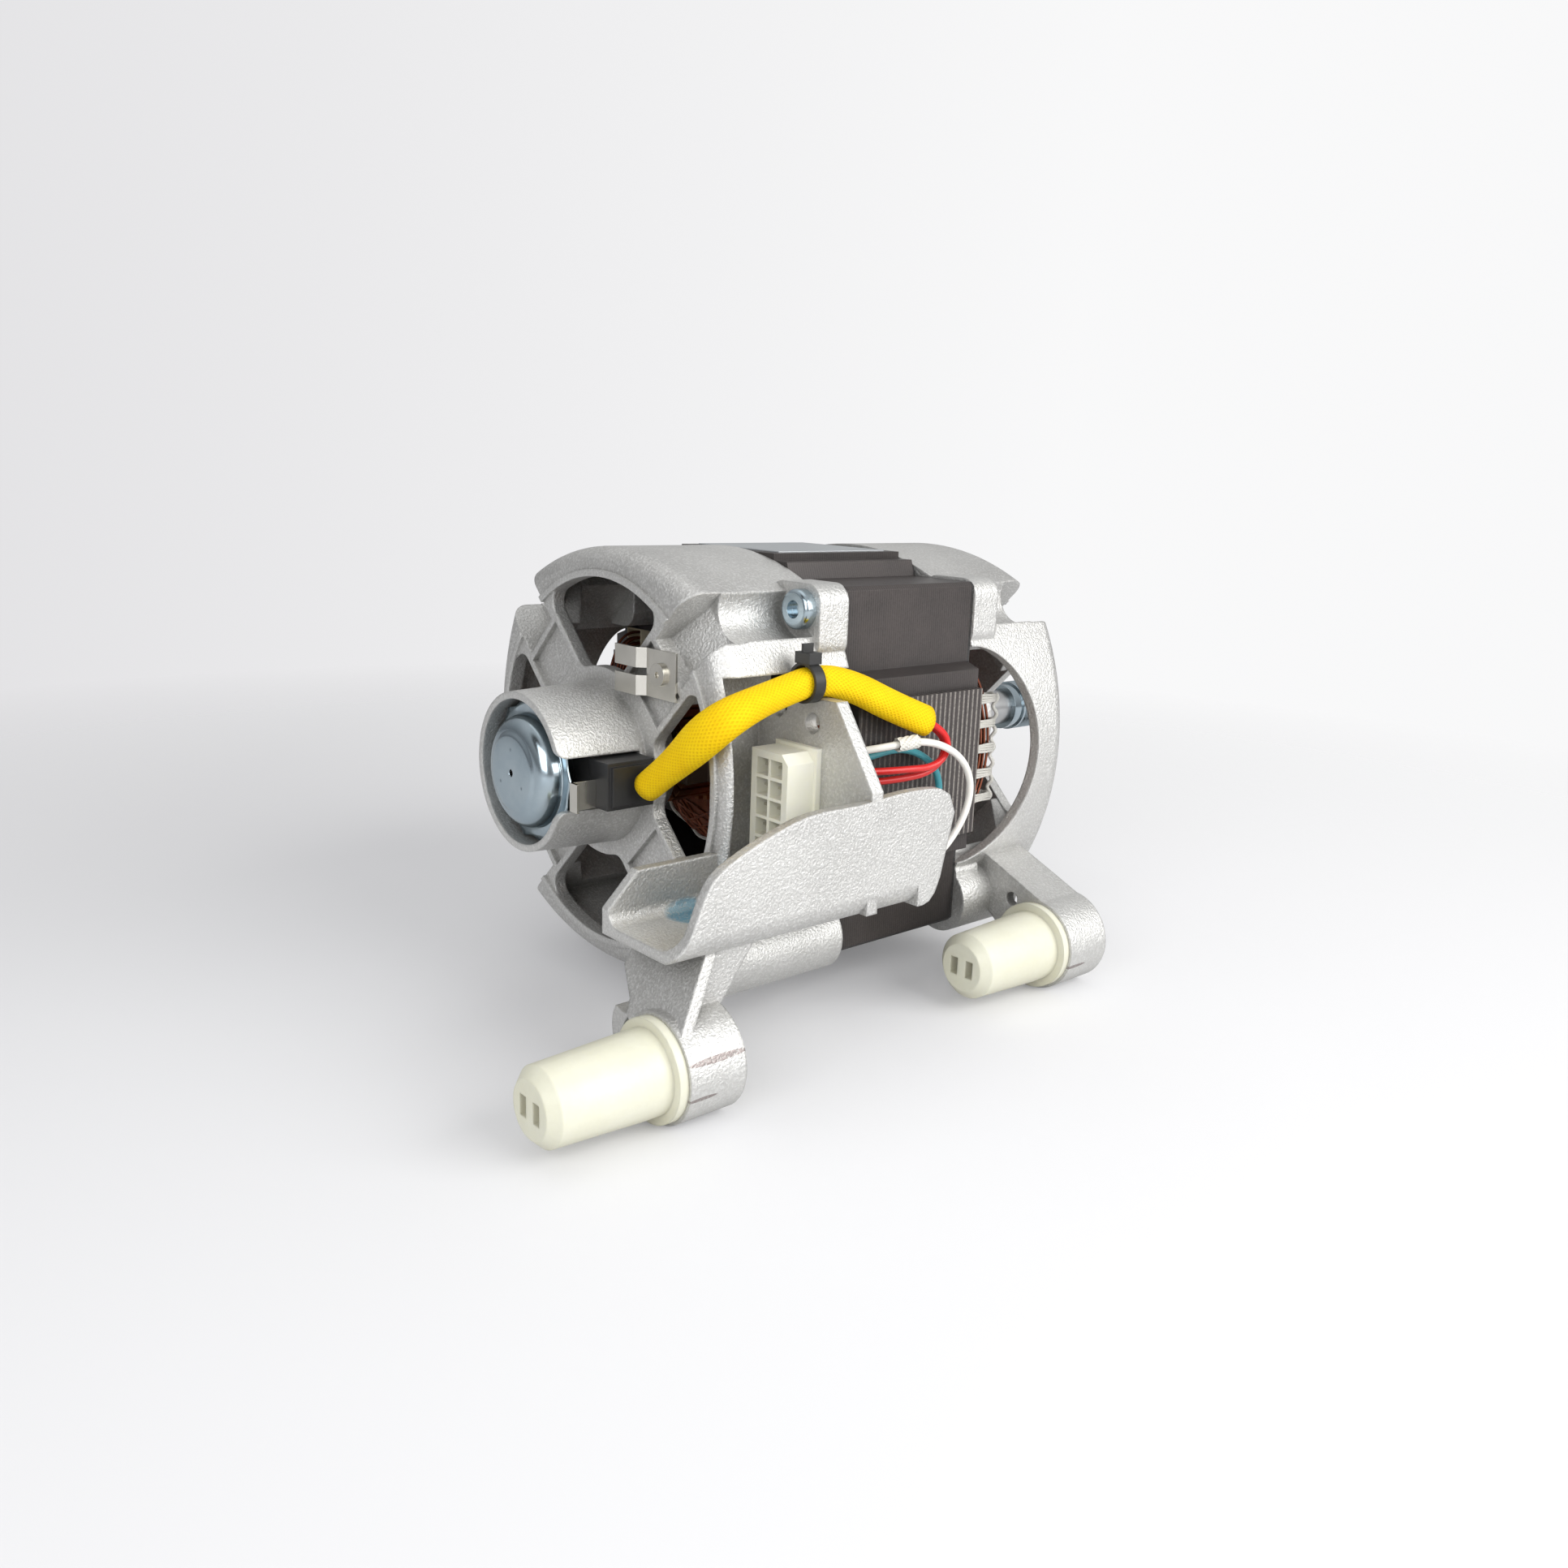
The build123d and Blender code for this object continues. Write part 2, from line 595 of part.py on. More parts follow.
def tray():
    # written from the tray's rear end, growing towards the stack
    length = REAR_DEPTH + TRAY_REAR
    low = TRAY_FLOOR_Z - TRAY_WALL
    line = [(length - x, TRAY_FLOOR_Z + z) for x, z in TRAY_LINE]
    crest = Spline(*line[:TRAY_SMOOTH])
    rest = Polyline(*line[TRAY_SMOOTH - 1:], (length, low), line[0])
    near = make_face(crest.edges() + rest.edges())
    body = side_cut(near, -TRAY_NEAR_Y + TRAY_WALL, -TRAY_NEAR_Y)
    body = body + block(0, length, -TRAY_NEAR_Y, -TRAY_BACK_Y, low, TRAY_FLOOR_Z)
    body = body + block(line[-1][0], length, -TRAY_NEAR_Y, -TRAY_FLOOR_CLEAR_Y, low, TRAY_FLOOR_Z)
    filling = round_corner(-TRAY_NEAR_Y + TRAY_WALL, TRAY_FLOOR_Z, TRAY_NEAR_ROUND, 1, line[-1][0], length)
    body = body + (filling & side_cut(near, -TRAY_BACK_Y, -TRAY_NEAR_Y))
    top = TRAY_FLOOR_Z + TRAY_BACK_HEIGHT
    back = polygon((REAR_DEPTH - FACE_WALL, low), (REAR_DEPTH - FACE_WALL, top), (length - TRAY_BACK_ROUND, top),
                   (length, top - TRAY_BACK_ROUND), (length, low))
    body = body + side_cut(back, -TRAY_BACK_Y, -TRAY_BACK_Y - TRAY_WALL)
    body = body + round_corner(-TRAY_BACK_Y - TRAY_WALL, TRAY_FLOOR_Z, TRAY_FLOOR_ROUND, -1, REAR_DEPTH, length)
    near_round = TRAY_NEAR_ROUND + TRAY_WALL / 2
    return body - round_corner(-TRAY_NEAR_Y, low, near_round, 1, -OVER, length + OVER)


def round_corner(y, z, radius, side, x0, x1):
    # what lies between a corner over a floor and an arc that touches both of its faces
    square = Pos(y + side * radius / 2, z + radius / 2) * Rectangle(radius, radius)
    return prism(square - Pos(y + side * radius, z + radius) * Circle(radius), x0, x1)


def rear_leg():
    # a tilted web, the peg's boss, a rib along the shaft and the small boss beside it
    top = REAR_DEPTH + REAR_LEG_TOP
    low_z = TRAY_FLOOR_Z - TRAY_WALL / 2
    foot_z = REAR_LEG_OUTLINE[4][1]
    slope = REAR_LEG_RUN * (low_z - foot_z) / (TUNNEL_R + REAR_LEG_RUN / 2)
    slab = side_cut(polygon((top - LEG_WEB, low_z), (top, low_z), (top + slope, foot_z),
                            (top + slope - LEG_WEB, foot_z)), -TRAY_BACK_Y, -TRAY_NEAR_Y - REAR_LEG_RUN)
    boss_end = REAR_DEPTH + REAR_BOSS_BACK
    web = slab & prism(near_outline(REAR_LEG_OUTLINE), 0, boss_end)
    boss = rod(BOSS_R, boss_end - REAR_BOSS_LENGTH, boss_end, -PEG_Y, PEG_Z)
    rib = side_cut(polygon((top, low_z), (REAR_DEPTH + GUSSET_FRONT, low_z),
                           (boss_end - REAR_BOSS_LENGTH, GUSSET_LOW_Z), (boss_end - LEG_WEB, GUSSET_LOW_Z)),
                   -GUSSET_Y + LEG_WEB / 2, -GUSSET_Y - LEG_WEB / 2)
    small_end = REAR_DEPTH + SIDE_BOSS_BACK
    small = rod(SIDE_BOSS_R, small_end - SIDE_BOSS_LENGTH, small_end, -SIDE_BOSS_Y, SIDE_BOSS_Z)
    link = block(REAR_DEPTH + OVER, small_end, -SIDE_BOSS_Y - SIDE_RIB_HALF, -SIDE_BOSS_Y + SIDE_RIB_HALF,
                 SIDE_RIB_LOW_Z, SIDE_RIB_TOP_Z)
    tie = block(small_end - SIDE_BOSS_LENGTH, small_end, -SIDE_BOSS_Y - SIDE_RIB_HALF, -SIDE_BOSS_Y + SIDE_RIB_HALF,
                SIDE_RIB_TOP_Z, low_z)
    web_tie = block(small_end - LEG_WEB, small_end, -PEG_Y, -SIDE_BOSS_Y, GUSSET_LOW_Z - SIDE_BOSS_R,
                    GUSSET_LOW_Z)
    leg = web + boss + rib + small + link + tie + web_tie
    leg = leg - rod(SIDE_BOSS_BORE_R, small_end - SIDE_BOSS_LENGTH - OVER, small_end + OVER, -SIDE_BOSS_Y, SIDE_BOSS_Z)
    return leg - rod(PEG_SHANK_R + TOUCH_GAP / 2, REAR_DEPTH, boss_end + OVER, -PEG_Y, PEG_Z)


def bracket():
    plate = prism(near_outline(PLATE_OUTLINE), PLATE_BACK - PLATE_THICK, PLATE_BACK)
    start, end = PLATE_BACK - PLATE_THICK - OVER, PLATE_BACK + OVER
    plate = plate - block(start, end, -PLUG_Y_IN, -PLUG_Y_OUT, PLUG_Z_LOW, PLUG_Z_TOP)
    plate = plate - rod(PLATE_HOLE_R, start, end, -PLATE_HOLE_Y, PLATE_HOLE_Z)
    return plate - rod(NOTCH_R, start, end, -NOTCH_Y, NOTCH_Z)


def rear_shield():
    depth = REAR_DEPTH
    shell = bell(depth, REAR_ARCH_DEPTH, REAR_ARCH_HALF, REAR_TUNNEL)
    shell = recess(shell)
    shell = shell + rod(REAR_TUBE_R, depth - REAR_TUBE_LENGTH, depth)
    shell = shell + cup() + bracket()
    tunnel = at_corner(rod(TROUGH_HALF, EAR_THICK, depth + REAR_TUNNEL, 0, SCREW_ALONG), NEAR_LOW)
    inside = prism(bell_outline(SIDE_REACH - BELL_WALL, SIDE_ARC_R - BELL_WALL), -OVER, depth - FACE_WALL)
    shell = shell + (tray() - inside) + rear_leg() - tunnel
    shell = shell - rod(REAR_BEARING_R, 0, depth - REAR_LIP) - rod(REAR_LIP_R, 0, depth + OVER)
    return one(Pos(X_STACK_R, 0, 0) * mirror(shell, about=Plane.YZ))


def stator_core():
    size = 2 * BLOCK_HALF
    outline = chamfer(Rectangle(size, size).vertices(), BLOCK_CHAMFER)
    step = polygon((-BLOCK_HALF, -STEP_LOW), (-STEP_HALF, -STEP_TOP), (-STEP_HALF, STEP_TOP),
                   (-BLOCK_HALF, STEP_LOW), (0, STEP_LOW), (0, -STEP_LOW))
    band = Pos(-BAND_HALF / 2, 0) * Rectangle(BAND_HALF, 2 * BAND_EDGE)
    for angle in (0, 90, 180, 270):
        outline = outline + Rot(0, 0, angle) * (step + band)
    space = Circle(BORE_R) + (Circle(YOKE_R) - Rectangle(2 * YOKE_R, 2 * SHOE_HALF))
    for y in (-1, 1):
        for z in (-1, 1):
            middle = Pos(y * (SLOT_Y_IN + SLOT_Y_OUT) / 2, z * (POLE_HALF + SLOT_Z) / 2)
            space = space + middle * Rectangle(SLOT_Y_OUT - SLOT_Y_IN, SLOT_Z - POLE_HALF)
            mouth = Pos(y * (SLOT_MOUTH_Y + SLOT_Y_OUT) / 2, z * (SHOE_HALF + SLOT_Z) / 2)
            space = space + mouth * Rectangle(SLOT_Y_OUT - SLOT_MOUTH_Y, SLOT_Z - SHOE_HALF)
            space = space + Pos(y * SCREW_OFFSET, z * SCREW_OFFSET) * Circle(STACK_HOLE_R)
    return one(prism(outline - space, X_STACK_R, X_STACK_F - GASKET_THICK))


def front_gasket():
    size = 2 * BLOCK_HALF
    ring = chamfer(Rectangle(size, size).vertices(), BLOCK_CHAMFER) - Circle(GASKET_R)
    ring = ring - Rectangle(2 * GASKET_CLEAR_Y, 2 * GASKET_CLEAR_Z)
    for y in (-1, 1):
        for z in (-1, 1):
            ring = ring - Pos(y * SCREW_OFFSET, z * SCREW_OFFSET) * Circle(STACK_HOLE_R)
    return prism(ring, X_STACK_F - GASKET_THICK, X_STACK_F)


def slot_liners():
    liners = []
    for y in (-1, 1):
        for z in (-1, 1):
            width, height = SLOT_Y_OUT - SLOT_Y_IN, SLOT_Z - POLE_HALF
            frame = Rectangle(width, height) - Rectangle(width - 2 * LINER_THICK, height - 2 * LINER_THICK)
            middle = Pos(y * (SLOT_Y_IN + SLOT_Y_OUT) / 2, z * (POLE_HALF + SLOT_Z) / 2)
            liners.append(prism(middle * frame, X_STACK_R - LINER_REACH, X_STACK_F + LINER_REACH).solid())
    return Compound(children=liners)


def half_turn(start, end, end_x, direction, reach):
    # two quarters of two arcs each, in the plane of the ends and the shaft axis
    (y0, z0), (y1, z1) = start, end
    span = math.hypot(y1 - y0, z1 - z0)
    share = abs(z0) / (abs(z0) + abs(z1))
    middle_y, middle_z = y0 + (y1 - y0) * share, z0 + (z1 - z0) * share
    unit_y, unit_z = (y0 - y1) / span, (z0 - z1) / span

    def place(x, along):
        return (end_x + direction * x, middle_y + unit_y * along, middle_z + unit_z * along)

    arcs = []
    for side, high in ((1, span * share), (-1, span * (1 - share))):
        small = COIL_ROUND_SHARE * reach
        large = (reach * reach + high * high - 2 * high * small) / (2 * (reach - small))
        tip = math.atan2(high - small, large - reach)
        join_x, join_z = large * math.cos(tip) - large + reach, large * math.sin(tip)
        half = (math.pi / 2 + tip) / 2
        first = (small * math.cos(half), high - small + small * math.sin(half))
        second = (large * math.cos(tip / 2) - large + reach, large * math.sin(tip / 2))
        points = [(0, high), first, (join_x, join_z), second, (reach, 0)]
        points = [place(x, side * z) for x, z in points]
        arcs.append(points if side > 0 else points[::-1])
    return arcs


def coil_route():
    # outwards in the inner layer, over the outermost rear turn, inwards in the outer layer
    level = lambda turn: COIL_INNER_Z + COIL_SIDE_PITCH * turn
    edges, marks = [], []
    here = (X_STACK_R, -COIL_Y, level(0))
    turn, step, y = 0.0, 0.5, -COIL_Y
    for half in range(4 * COIL_LOOPS - 1):
        top = half % 2 == 0
        far_x = X_STACK_F if top else X_STACK_R
        edges.append(Line(here, (far_x, here[1], here[2])))
        marks.append(((here[0] + far_x) / 2, here[1], here[2]))
        if half == 4 * COIL_LOOPS - 2:
            break
        new_y = y
        if half == 2 * COIL_LOOPS - 1:
            new_y = y - COIL_LAYER_PITCH
        after = turn + step
        if half == 2 * COIL_LOOPS - 1:
            step = -step
        start, pitch = (COIL_FRONT_START, COIL_FRONT_PITCH) if top else (COIL_REAR_START, COIL_REAR_PITCH)
        reach = start + pitch * (turn + after) / 2
        if new_y != y:
            reach = reach + pitch / 2
        sign = 1 if top else -1
        quarters = half_turn((y, sign * level(turn)), (new_y, -sign * level(after)), far_x, sign, reach)
        for points in quarters:
            edges.append(ThreePointArc(*points[:3]))
            edges.append(ThreePointArc(*points[2:]))
            marks.extend(points[1:4])
        here = quarters[1][4]
        turn, y = after, new_y
    return edges, marks


def field_coil():
    edges, marks = coil_route()
    apart = 6
    least = min(math.dist(marks[i], marks[j]) for i in range(len(marks)) for j in range(i + apart, len(marks)))
    path = Wire(edges)
    section = Plane(origin=path @ 0, z_dir=path % 0) * Circle(COIL_WIRE / 2)
    coil = sweep(section, path=path)
    tube = math.pi * COIL_WIRE * COIL_WIRE / 4 * path.length
    print("coil: least gap to itself", round(least - COIL_WIRE, 2), "mm, volume ratio", round(coil.volume / tube, 3))
    return coil


def coil_lacing():
    outer_x = X_STACK_F + COIL_FRONT_START + COIL_FRONT_PITCH * COIL_LOOPS + COIL_WIRE / 2
    near, far = COIL_Y - COIL_WIRE / 2 - LOOSE, COIL_Y + COIL_LAYER_PITCH + COIL_WIRE / 2 + LOOSE
    bands = []
    for y in (-1, 1):
        for number in range(LACES):
            z = LACE_SPAN * (2 * number / (LACES - 1) - 1)
            low, high = z - LACE_WIDTH / 2, z + LACE_WIDTH / 2
            inner = block(X_STACK_F + LACE_START + LACE_THICK, outer_x, y * near, y * far, low - OVER, high + OVER)
            outer = block(X_STACK_F + LACE_START, outer_x + LACE_THICK, y * (near - LACE_THICK),
                          y * (far + LACE_THICK), low, high)
            bands.append((outer - inner).solid())
    return Compound(children=bands)


def shaft():
    shoulder = X_STACK_R - COMM_START - COMM_LENGTH
    seat_end = X_REAR - REAR_LIP
    return turned((X_MOUTH + CUP_DEPTH / 2, 0), (X_MOUTH + CUP_DEPTH / 2, SENSOR_SHAFT_R),
                  (seat_end, SENSOR_SHAFT_R), (seat_end, REAR_SHAFT_R), (shoulder, REAR_SHAFT_R),
                  (shoulder, SHAFT_R), (-SHAFT_INSET, SHAFT_R), (-SHAFT_INSET, 0))


def armature_core():
    disc = Circle(BORE_R - AIR_GAP) - Circle(SHAFT_R)
    for number in range(TEETH):
        turn = Rot(0, 0, 360 * number / TEETH)
        slot = polygon((ARM_SLOT_IN, -ARM_SLOT_MOUTH), (ARM_SLOT_OUT, -ARM_SLOT_HALF), (ARM_SLOT_OUT, ARM_SLOT_HALF),
                       (ARM_SLOT_IN, ARM_SLOT_MOUTH))
        mouth = Pos(BORE_R, 0) * Rectangle(2 * (BORE_R - ARM_SLOT_OUT), ARM_SLOT_MOUTH)
        disc = disc - turn * slot - turn * mouth
    return one(prism(disc, X_STACK_R, X_STACK_F))


def armature_winding():
    front, rear = X_STACK_F + ENDTURN_FRONT, X_STACK_R - ENDTURN_REAR
    inner = SHAFT_R + OVER
    turns = turned((X_STACK_F, inner), (front, inner), (front, ENDTURN_TIP_R), (front - ENDTURN_ROUND, ENDTURN_TIP_R +
                   2 * ENDTURN_ROUND), (X_STACK_F + ENDTURN_ROUND, ENDTURN_R), (X_STACK_F, ENDTURN_R))
    turns = turns + turned((X_STACK_R, inner), (rear, inner), (rear, ENDTURN_TIP_R),
                           (X_STACK_R - ENDTURN_ROUND, ENDTURN_R), (X_STACK_R, ENDTURN_R))
    slot = polygon((ARM_SLOT_IN + ARM_BAR_GAP, -ARM_SLOT_MOUTH + ARM_BAR_GAP),
                   (ARM_SLOT_OUT - 1.5 * ARM_SLOT_MOUTH, -ARM_SLOT_HALF + ARM_SLOT_MOUTH),
                   (ARM_SLOT_OUT - 1.5 * ARM_SLOT_MOUTH, ARM_SLOT_HALF - ARM_SLOT_MOUTH),
                   (ARM_SLOT_IN + ARM_BAR_GAP, ARM_SLOT_MOUTH - ARM_BAR_GAP))
    bars = [prism(Rot(0, 0, 360 * n / TEETH) * slot, X_STACK_R - OVER, X_STACK_F + OVER) for n in range(TEETH)]
    return one(turns.fuse(*bars))


def commutator():
    start = X_STACK_R - COMM_START
    end = start - COMM_LENGTH
    inner = COMM_R - COMM_BAR_THICK
    hub = pipe(inner, SHAFT_R, end, start)
    angle = 360 / COMM_BARS
    bars = []
    for number in range(COMM_BARS):
        ring = Circle(COMM_R) - Circle(inner)
        high = COMM_R * math.tan(math.radians(angle / 2)) * 2 - COMM_SLIT
        wedge = Pos(COMM_R, 0) * Rectangle(2 * COMM_BAR_THICK, high * inner / COMM_R)
        bar = prism(Rot(0, 0, angle * number) * (ring & wedge), end, start)
        hook = (Circle(COMM_HOOK_R) - Circle(inner)) & Pos(COMM_R, 0) * Rectangle(2 * COMM_BAR_THICK, high / 2)
        bars.append((bar + prism(Rot(0, 0, angle * number) * hook, start - COMM_HOOK_LENGTH, start)).solid())
    return hub, Compound(children=bars)


def bearing(x0, outer_r, inner_r, width):
    middle_r, middle_x = (outer_r + inner_r) / 2, x0 + width / 2
    ball_r = BALL_SHARE * (outer_r - inner_r)
    step = SHOULDER_SHARE * ball_r
    groove = Pos(middle_x, 0, 0) * Rot(0, 90, 0) * Torus(middle_r, ball_r + RUN_GAP)
    outer = pipe(outer_r, middle_r + step, x0, x0 + width) - groove
    inner = pipe(middle_r - step, inner_r, x0, x0 + width) - groove
    cage = pipe(middle_r + CAGE_THICK / 2, middle_r - CAGE_THICK / 2, middle_x - CAGE_WIDTH / 2,
                middle_x + CAGE_WIDTH / 2)
    balls = []
    for number in range(BALLS):
        turn = Rot(360 * number / BALLS, 0, 0)
        cage = cage - turn * Pos(middle_x, 0, middle_r) * Sphere(ball_r + RUN_GAP)
        balls.append((turn * Pos(middle_x, 0, middle_r) * Sphere(ball_r)).solid())
    seals = [pipe(middle_r + step, middle_r - step + LOOSE, x, x + SEAL_THICK).solid()
             for x in (x0, x0 + width - SEAL_THICK)]
    return outer, inner, Compound(children=balls + [one(cage)]), Compound(children=seals)


def spring_washer(x0):
    # a shallow cone between the bearing and the lip
    end = x0 - WASHER_GAP + WASHER_THICK
    return turned((x0, REAR_BEARING_R - OVER), (x0 - WASHER_THICK, REAR_BEARING_R - OVER),
                  (end - WASHER_THICK, WASHER_IN_R), (end, WASHER_IN_R))


def brush_set():
    # drawn for the far side, +Y
    start = COMM_R + HOLDER_START
    end = start + HOLDER_LENGTH
    half_w, half_t = BRUSH_W / 2 + RUN_GAP, BRUSH_T / 2 + RUN_GAP
    x0, x1 = BRUSH_MID - half_w - HOLDER_WALL, BRUSH_MID + half_w + HOLDER_WALL
    holder = block(x0, x1, start, end, -half_t - HOLDER_WALL, half_t + HOLDER_WALL)
    holder = holder - block(BRUSH_MID - half_w, BRUSH_MID + half_w, start - OVER, end - HOLDER_CAP, -half_t, half_t)
    tube_end = X_REAR + REAR_TUBE_LENGTH
    foot = block(tube_end, x0, start, start + HOLDER_FOOT_HIGH, -HOLDER_FOOT_HALF, HOLDER_FOOT_HALF)
    holder = holder + foot
    brush_end = COMM_R + RUN_GAP + BRUSH_LENGTH
    brush = block(BRUSH_MID - BRUSH_W / 2, BRUSH_MID + BRUSH_W / 2, COMM_R - BRUSH_T, brush_end,
                  -BRUSH_T / 2, BRUSH_T / 2)
    brush = brush - rod(COMM_R + RUN_GAP, X_REAR, X_STACK_R)
    length = end - HOLDER_CAP - brush_end - SPRING_WIRE - TOUCH_GAP
    helix = Helix(pitch=length / SPRING_CURLS, height=length, radius=SPRING_R)
    wire = sweep(Plane(origin=helix @ 0, z_dir=helix % 0) * Circle(SPRING_WIRE / 2), path=helix)
    spring = Pos(BRUSH_MID, brush_end + (SPRING_WIRE + TOUCH_GAP) / 2, 0) * Rot(-90, 0, 0) * wire
    return holder, one(brush), spring


def sensor_cap():
    top = X_MOUTH - CAP_DOME_HEIGHT / 4
    dome = top + CAP_DOME_HEIGHT / 2
    rim = dome + CAP_STEP
    sheet = CAP_SHEET
    cap = turned((top, CAP_HOLE_R), (top, CAP_TOP_R), (dome, CAP_DOME_R), (rim, CAP_RIM_R - sheet),
                 (rim, CAP_RIM_R), (rim + 2 * sheet, CAP_RIM_R), (rim + sheet, CAP_DOME_R),
                 (dome + sheet, CAP_DOME_R - sheet), (top + sheet, CAP_TOP_R - sheet), (top + sheet, CAP_HOLE_R))
    for number in range(CAP_PETALS):
        turn = Rot(360 * (number + 1 / 2) / CAP_PETALS, 0, 0)
        cap = cap - turn * rod(CAP_NOTCH_R, rim - OVER, rim + OVER + sheet, 0, CAP_RIM_R + CAP_NOTCH_R / 2)
    for number in range(3):
        turn = Rot(120 * number, 0, 0)
        cap = cap - turn * rod(CAP_DIMPLE_R, top - OVER, top + CAP_DIMPLE_DEPTH, 0, CAP_DIMPLE_OFF)
    return one(cap)


def sensor_plug():
    front, rear = X_REAR - PLUG_FRONT, X_REAR - PLUG_REAR
    body = block(rear, front, -PLUG_OUT_Y, 0, -PLUG_HALF, PLUG_HALF)
    body = body + block(rear + PLUG_STEP, front - PLUG_STEP, -PLUG_OUT_Y - PLUG_STEP, -PLUG_OUT_Y,
                        -PLUG_HALF + PLUG_STEP, PLUG_HALF - PLUG_STEP)
    body = body - rod(RING_R + RUN_GAP, rear - OVER, front + OVER)
    tail = Pos(front - PLUG_TAIL_X, -PLUG_OUT_Y, 0) * Rot(90, 0, 0) * Cylinder(PLUG_TAIL_R, 2 * PLUG_TAIL)
    return one(body + tail)


def sensor_clip():
    rear = X_REAR - PLUG_REAR
    z0, z1 = CLIP_Z - CLIP_HEIGHT / 2, CLIP_Z + CLIP_HEIGHT / 2
    sheet = block(rear - CLIP_LENGTH, rear, -CLIP_Y - CLIP_SHEET, -CLIP_Y, z0, z1)
    leg = block(rear - CLIP_LENGTH, rear - CLIP_LENGTH + CLIP_SHEET, -CLIP_Y - CLIP_LEG, -CLIP_Y, z0, z1)
    return sheet + leg


def earth_terminal():
    x0, x1 = X_REAR - EARTH_SHEET, X_REAR
    plate = block(x0, x1, -EARTH_Y_OUT, -EARTH_Y_IN, EARTH_Z_LOW, EARTH_Z_TOP)
    for z in (EARTH_Z_LOW, EARTH_Z_TOP - EARTH_TAB):
        tab = polygon((x0, -EARTH_Y_IN - EARTH_SHEET), (x1, -EARTH_Y_IN - EARTH_SHEET),
                      (x1, -EARTH_Y_IN), (x1 - EARTH_TAB_LIFT, -EARTH_Y_IN + EARTH_TAB_LIFT),
                      (x1 - EARTH_TAB_LIFT, -EARTH_TAB_END), (x0 - EARTH_TAB_LIFT, -EARTH_TAB_END),
                      (x0 - EARTH_TAB_LIFT, -EARTH_Y_IN + EARTH_TAB_LIFT), (x0, -EARTH_Y_IN))
        plate = plate + floor_cut(tab, z, z + EARTH_TAB)
    plate = plate - rod(RIVET_R + RUN_GAP, x0 - OVER, x1 + OVER, -RIVET_Y, RIVET_Z)
    rivet = rod(RIVET_R, x0, X_REAR + RIDGE_HEIGHT, -RIVET_Y, RIVET_Z)
    rivet = rivet + pipe(RIVET_HEAD_R, RIVET_R / 2, x0 - RIVET_HEAD, x0, -RIVET_Y, RIVET_Z)
    return one(plate), one(rivet)


def plug_housing():
    back = X_STACK_R - PLATE_BACK
    x0, x1 = back - HOUSING_OUT, back + HOUSING_IN
    y0, y1 = -PLUG_Y_OUT + LOOSE, -PLUG_Y_IN - LOOSE
    z0, z1 = PLUG_Z_LOW + LOOSE, PLUG_Z_TOP - LOOSE
    cut = HOUSING_CHAMFER
    body = prism(polygon((y0, z0), (y1, z0), (y1, z1), (y0 + cut, z1), (y0, z1 - cut)), x0, x1)
    lip = block(back - HOUSING_LIP_LENGTH, back, y0 - HOUSING_LIP, y1 + HOUSING_LIP, z0 - HOUSING_LIP, z1 + HOUSING_LIP)
    body = body + lip
    pins = []
    mid_y, mid_z = (y0 + y1) / 2, (z0 + z1) / 2
    for column in range(HOUSING_COLUMNS):
        for row in range(HOUSING_ROWS):
            y = mid_y + HOUSING_PITCH * (column - (HOUSING_COLUMNS - 1) / 2)
            z = mid_z + HOUSING_PITCH * (row - (HOUSING_ROWS - 1) / 2)
            cell = block(x0 - OVER, x1 - HOUSING_FLOOR, y - CELL_SIZE / 2, y + CELL_SIZE / 2, z - CELL_SIZE / 2,
                         z + CELL_SIZE / 2)
            hole = block(x0, x1 + OVER, y - BLADE_W / 2, y + BLADE_W / 2, z - BLADE_T / 2, z + BLADE_T / 2)
            body = body - cell - hole
            pins.append(block(x0 + BLADE_INSET, x1 + BLADE_TAIL, y - BLADE_W / 2 + RUN_GAP, y + BLADE_W / 2 - RUN_GAP,
                              z - BLADE_T / 2 + RUN_GAP, z + BLADE_T / 2 - RUN_GAP))
    return one(body), Compound(children=[pin.solid() for pin in pins])


def placed(line):
    return [Vector(X_STACK_R + x, y - LEADS_OUT, z) for x, y, z in line]


def cord(line, section, name):
    points = placed(line)
    radii = []
    for before, at, after in zip(points, points[1:], points[2:]):
        runs = (at - before).length, (after - at).length
        turn = math.radians((at - before).get_angle(after - at))
        radii.append(BEND_SHARE * min(runs) / math.tan(turn / 2))
    path = FilletPolyline(*points, radius=radii)
    solid = sweep(Plane(origin=path @ 0, z_dir=path % 0) * section, path=path)
    ratio = solid.volume / (section.area * path.length)
    print(name, "radii", [round(r, 1) for r in radii], "length", round(path.length), "ratio", round(ratio, 3))
    return solid


def woven_sleeve():
    start, end = placed(WHITE_LINE)[1:3]
    along = (end - start).normalized()
    first = start + along * (BRAID_START + WIRE_D)
    plane = Plane(origin=first, z_dir=along)
    return extrude(plane * (Circle(BRAID_D / 2) - Circle(BRAID_BORE / 2)), amount=BRAID_LENGTH - WIRE_D)


def cable_tie():
    x0 = X_STACK_R - TIE_BACK - TIE_W
    inner = SLEEVE_D / 2 + TIE_GAP
    band = pipe(inner + TIE_T, inner, x0, x0 + TIE_W, -TIE_Y, TIE_Z)
    top = TIE_Z + inner
    head = block(x0 - TIE_T / 2, x0 + TIE_W + TIE_T / 2, -TIE_Y - TIE_HEAD / 2, -TIE_Y + TIE_HEAD / 2, top + TIE_T / 2,
                 top + TIE_W)
    tail = block(x0, x0 + TIE_W, -TIE_Y, -TIE_Y + TIE_T, top, top + TIE_HEAD)
    return one(band + head + tail)


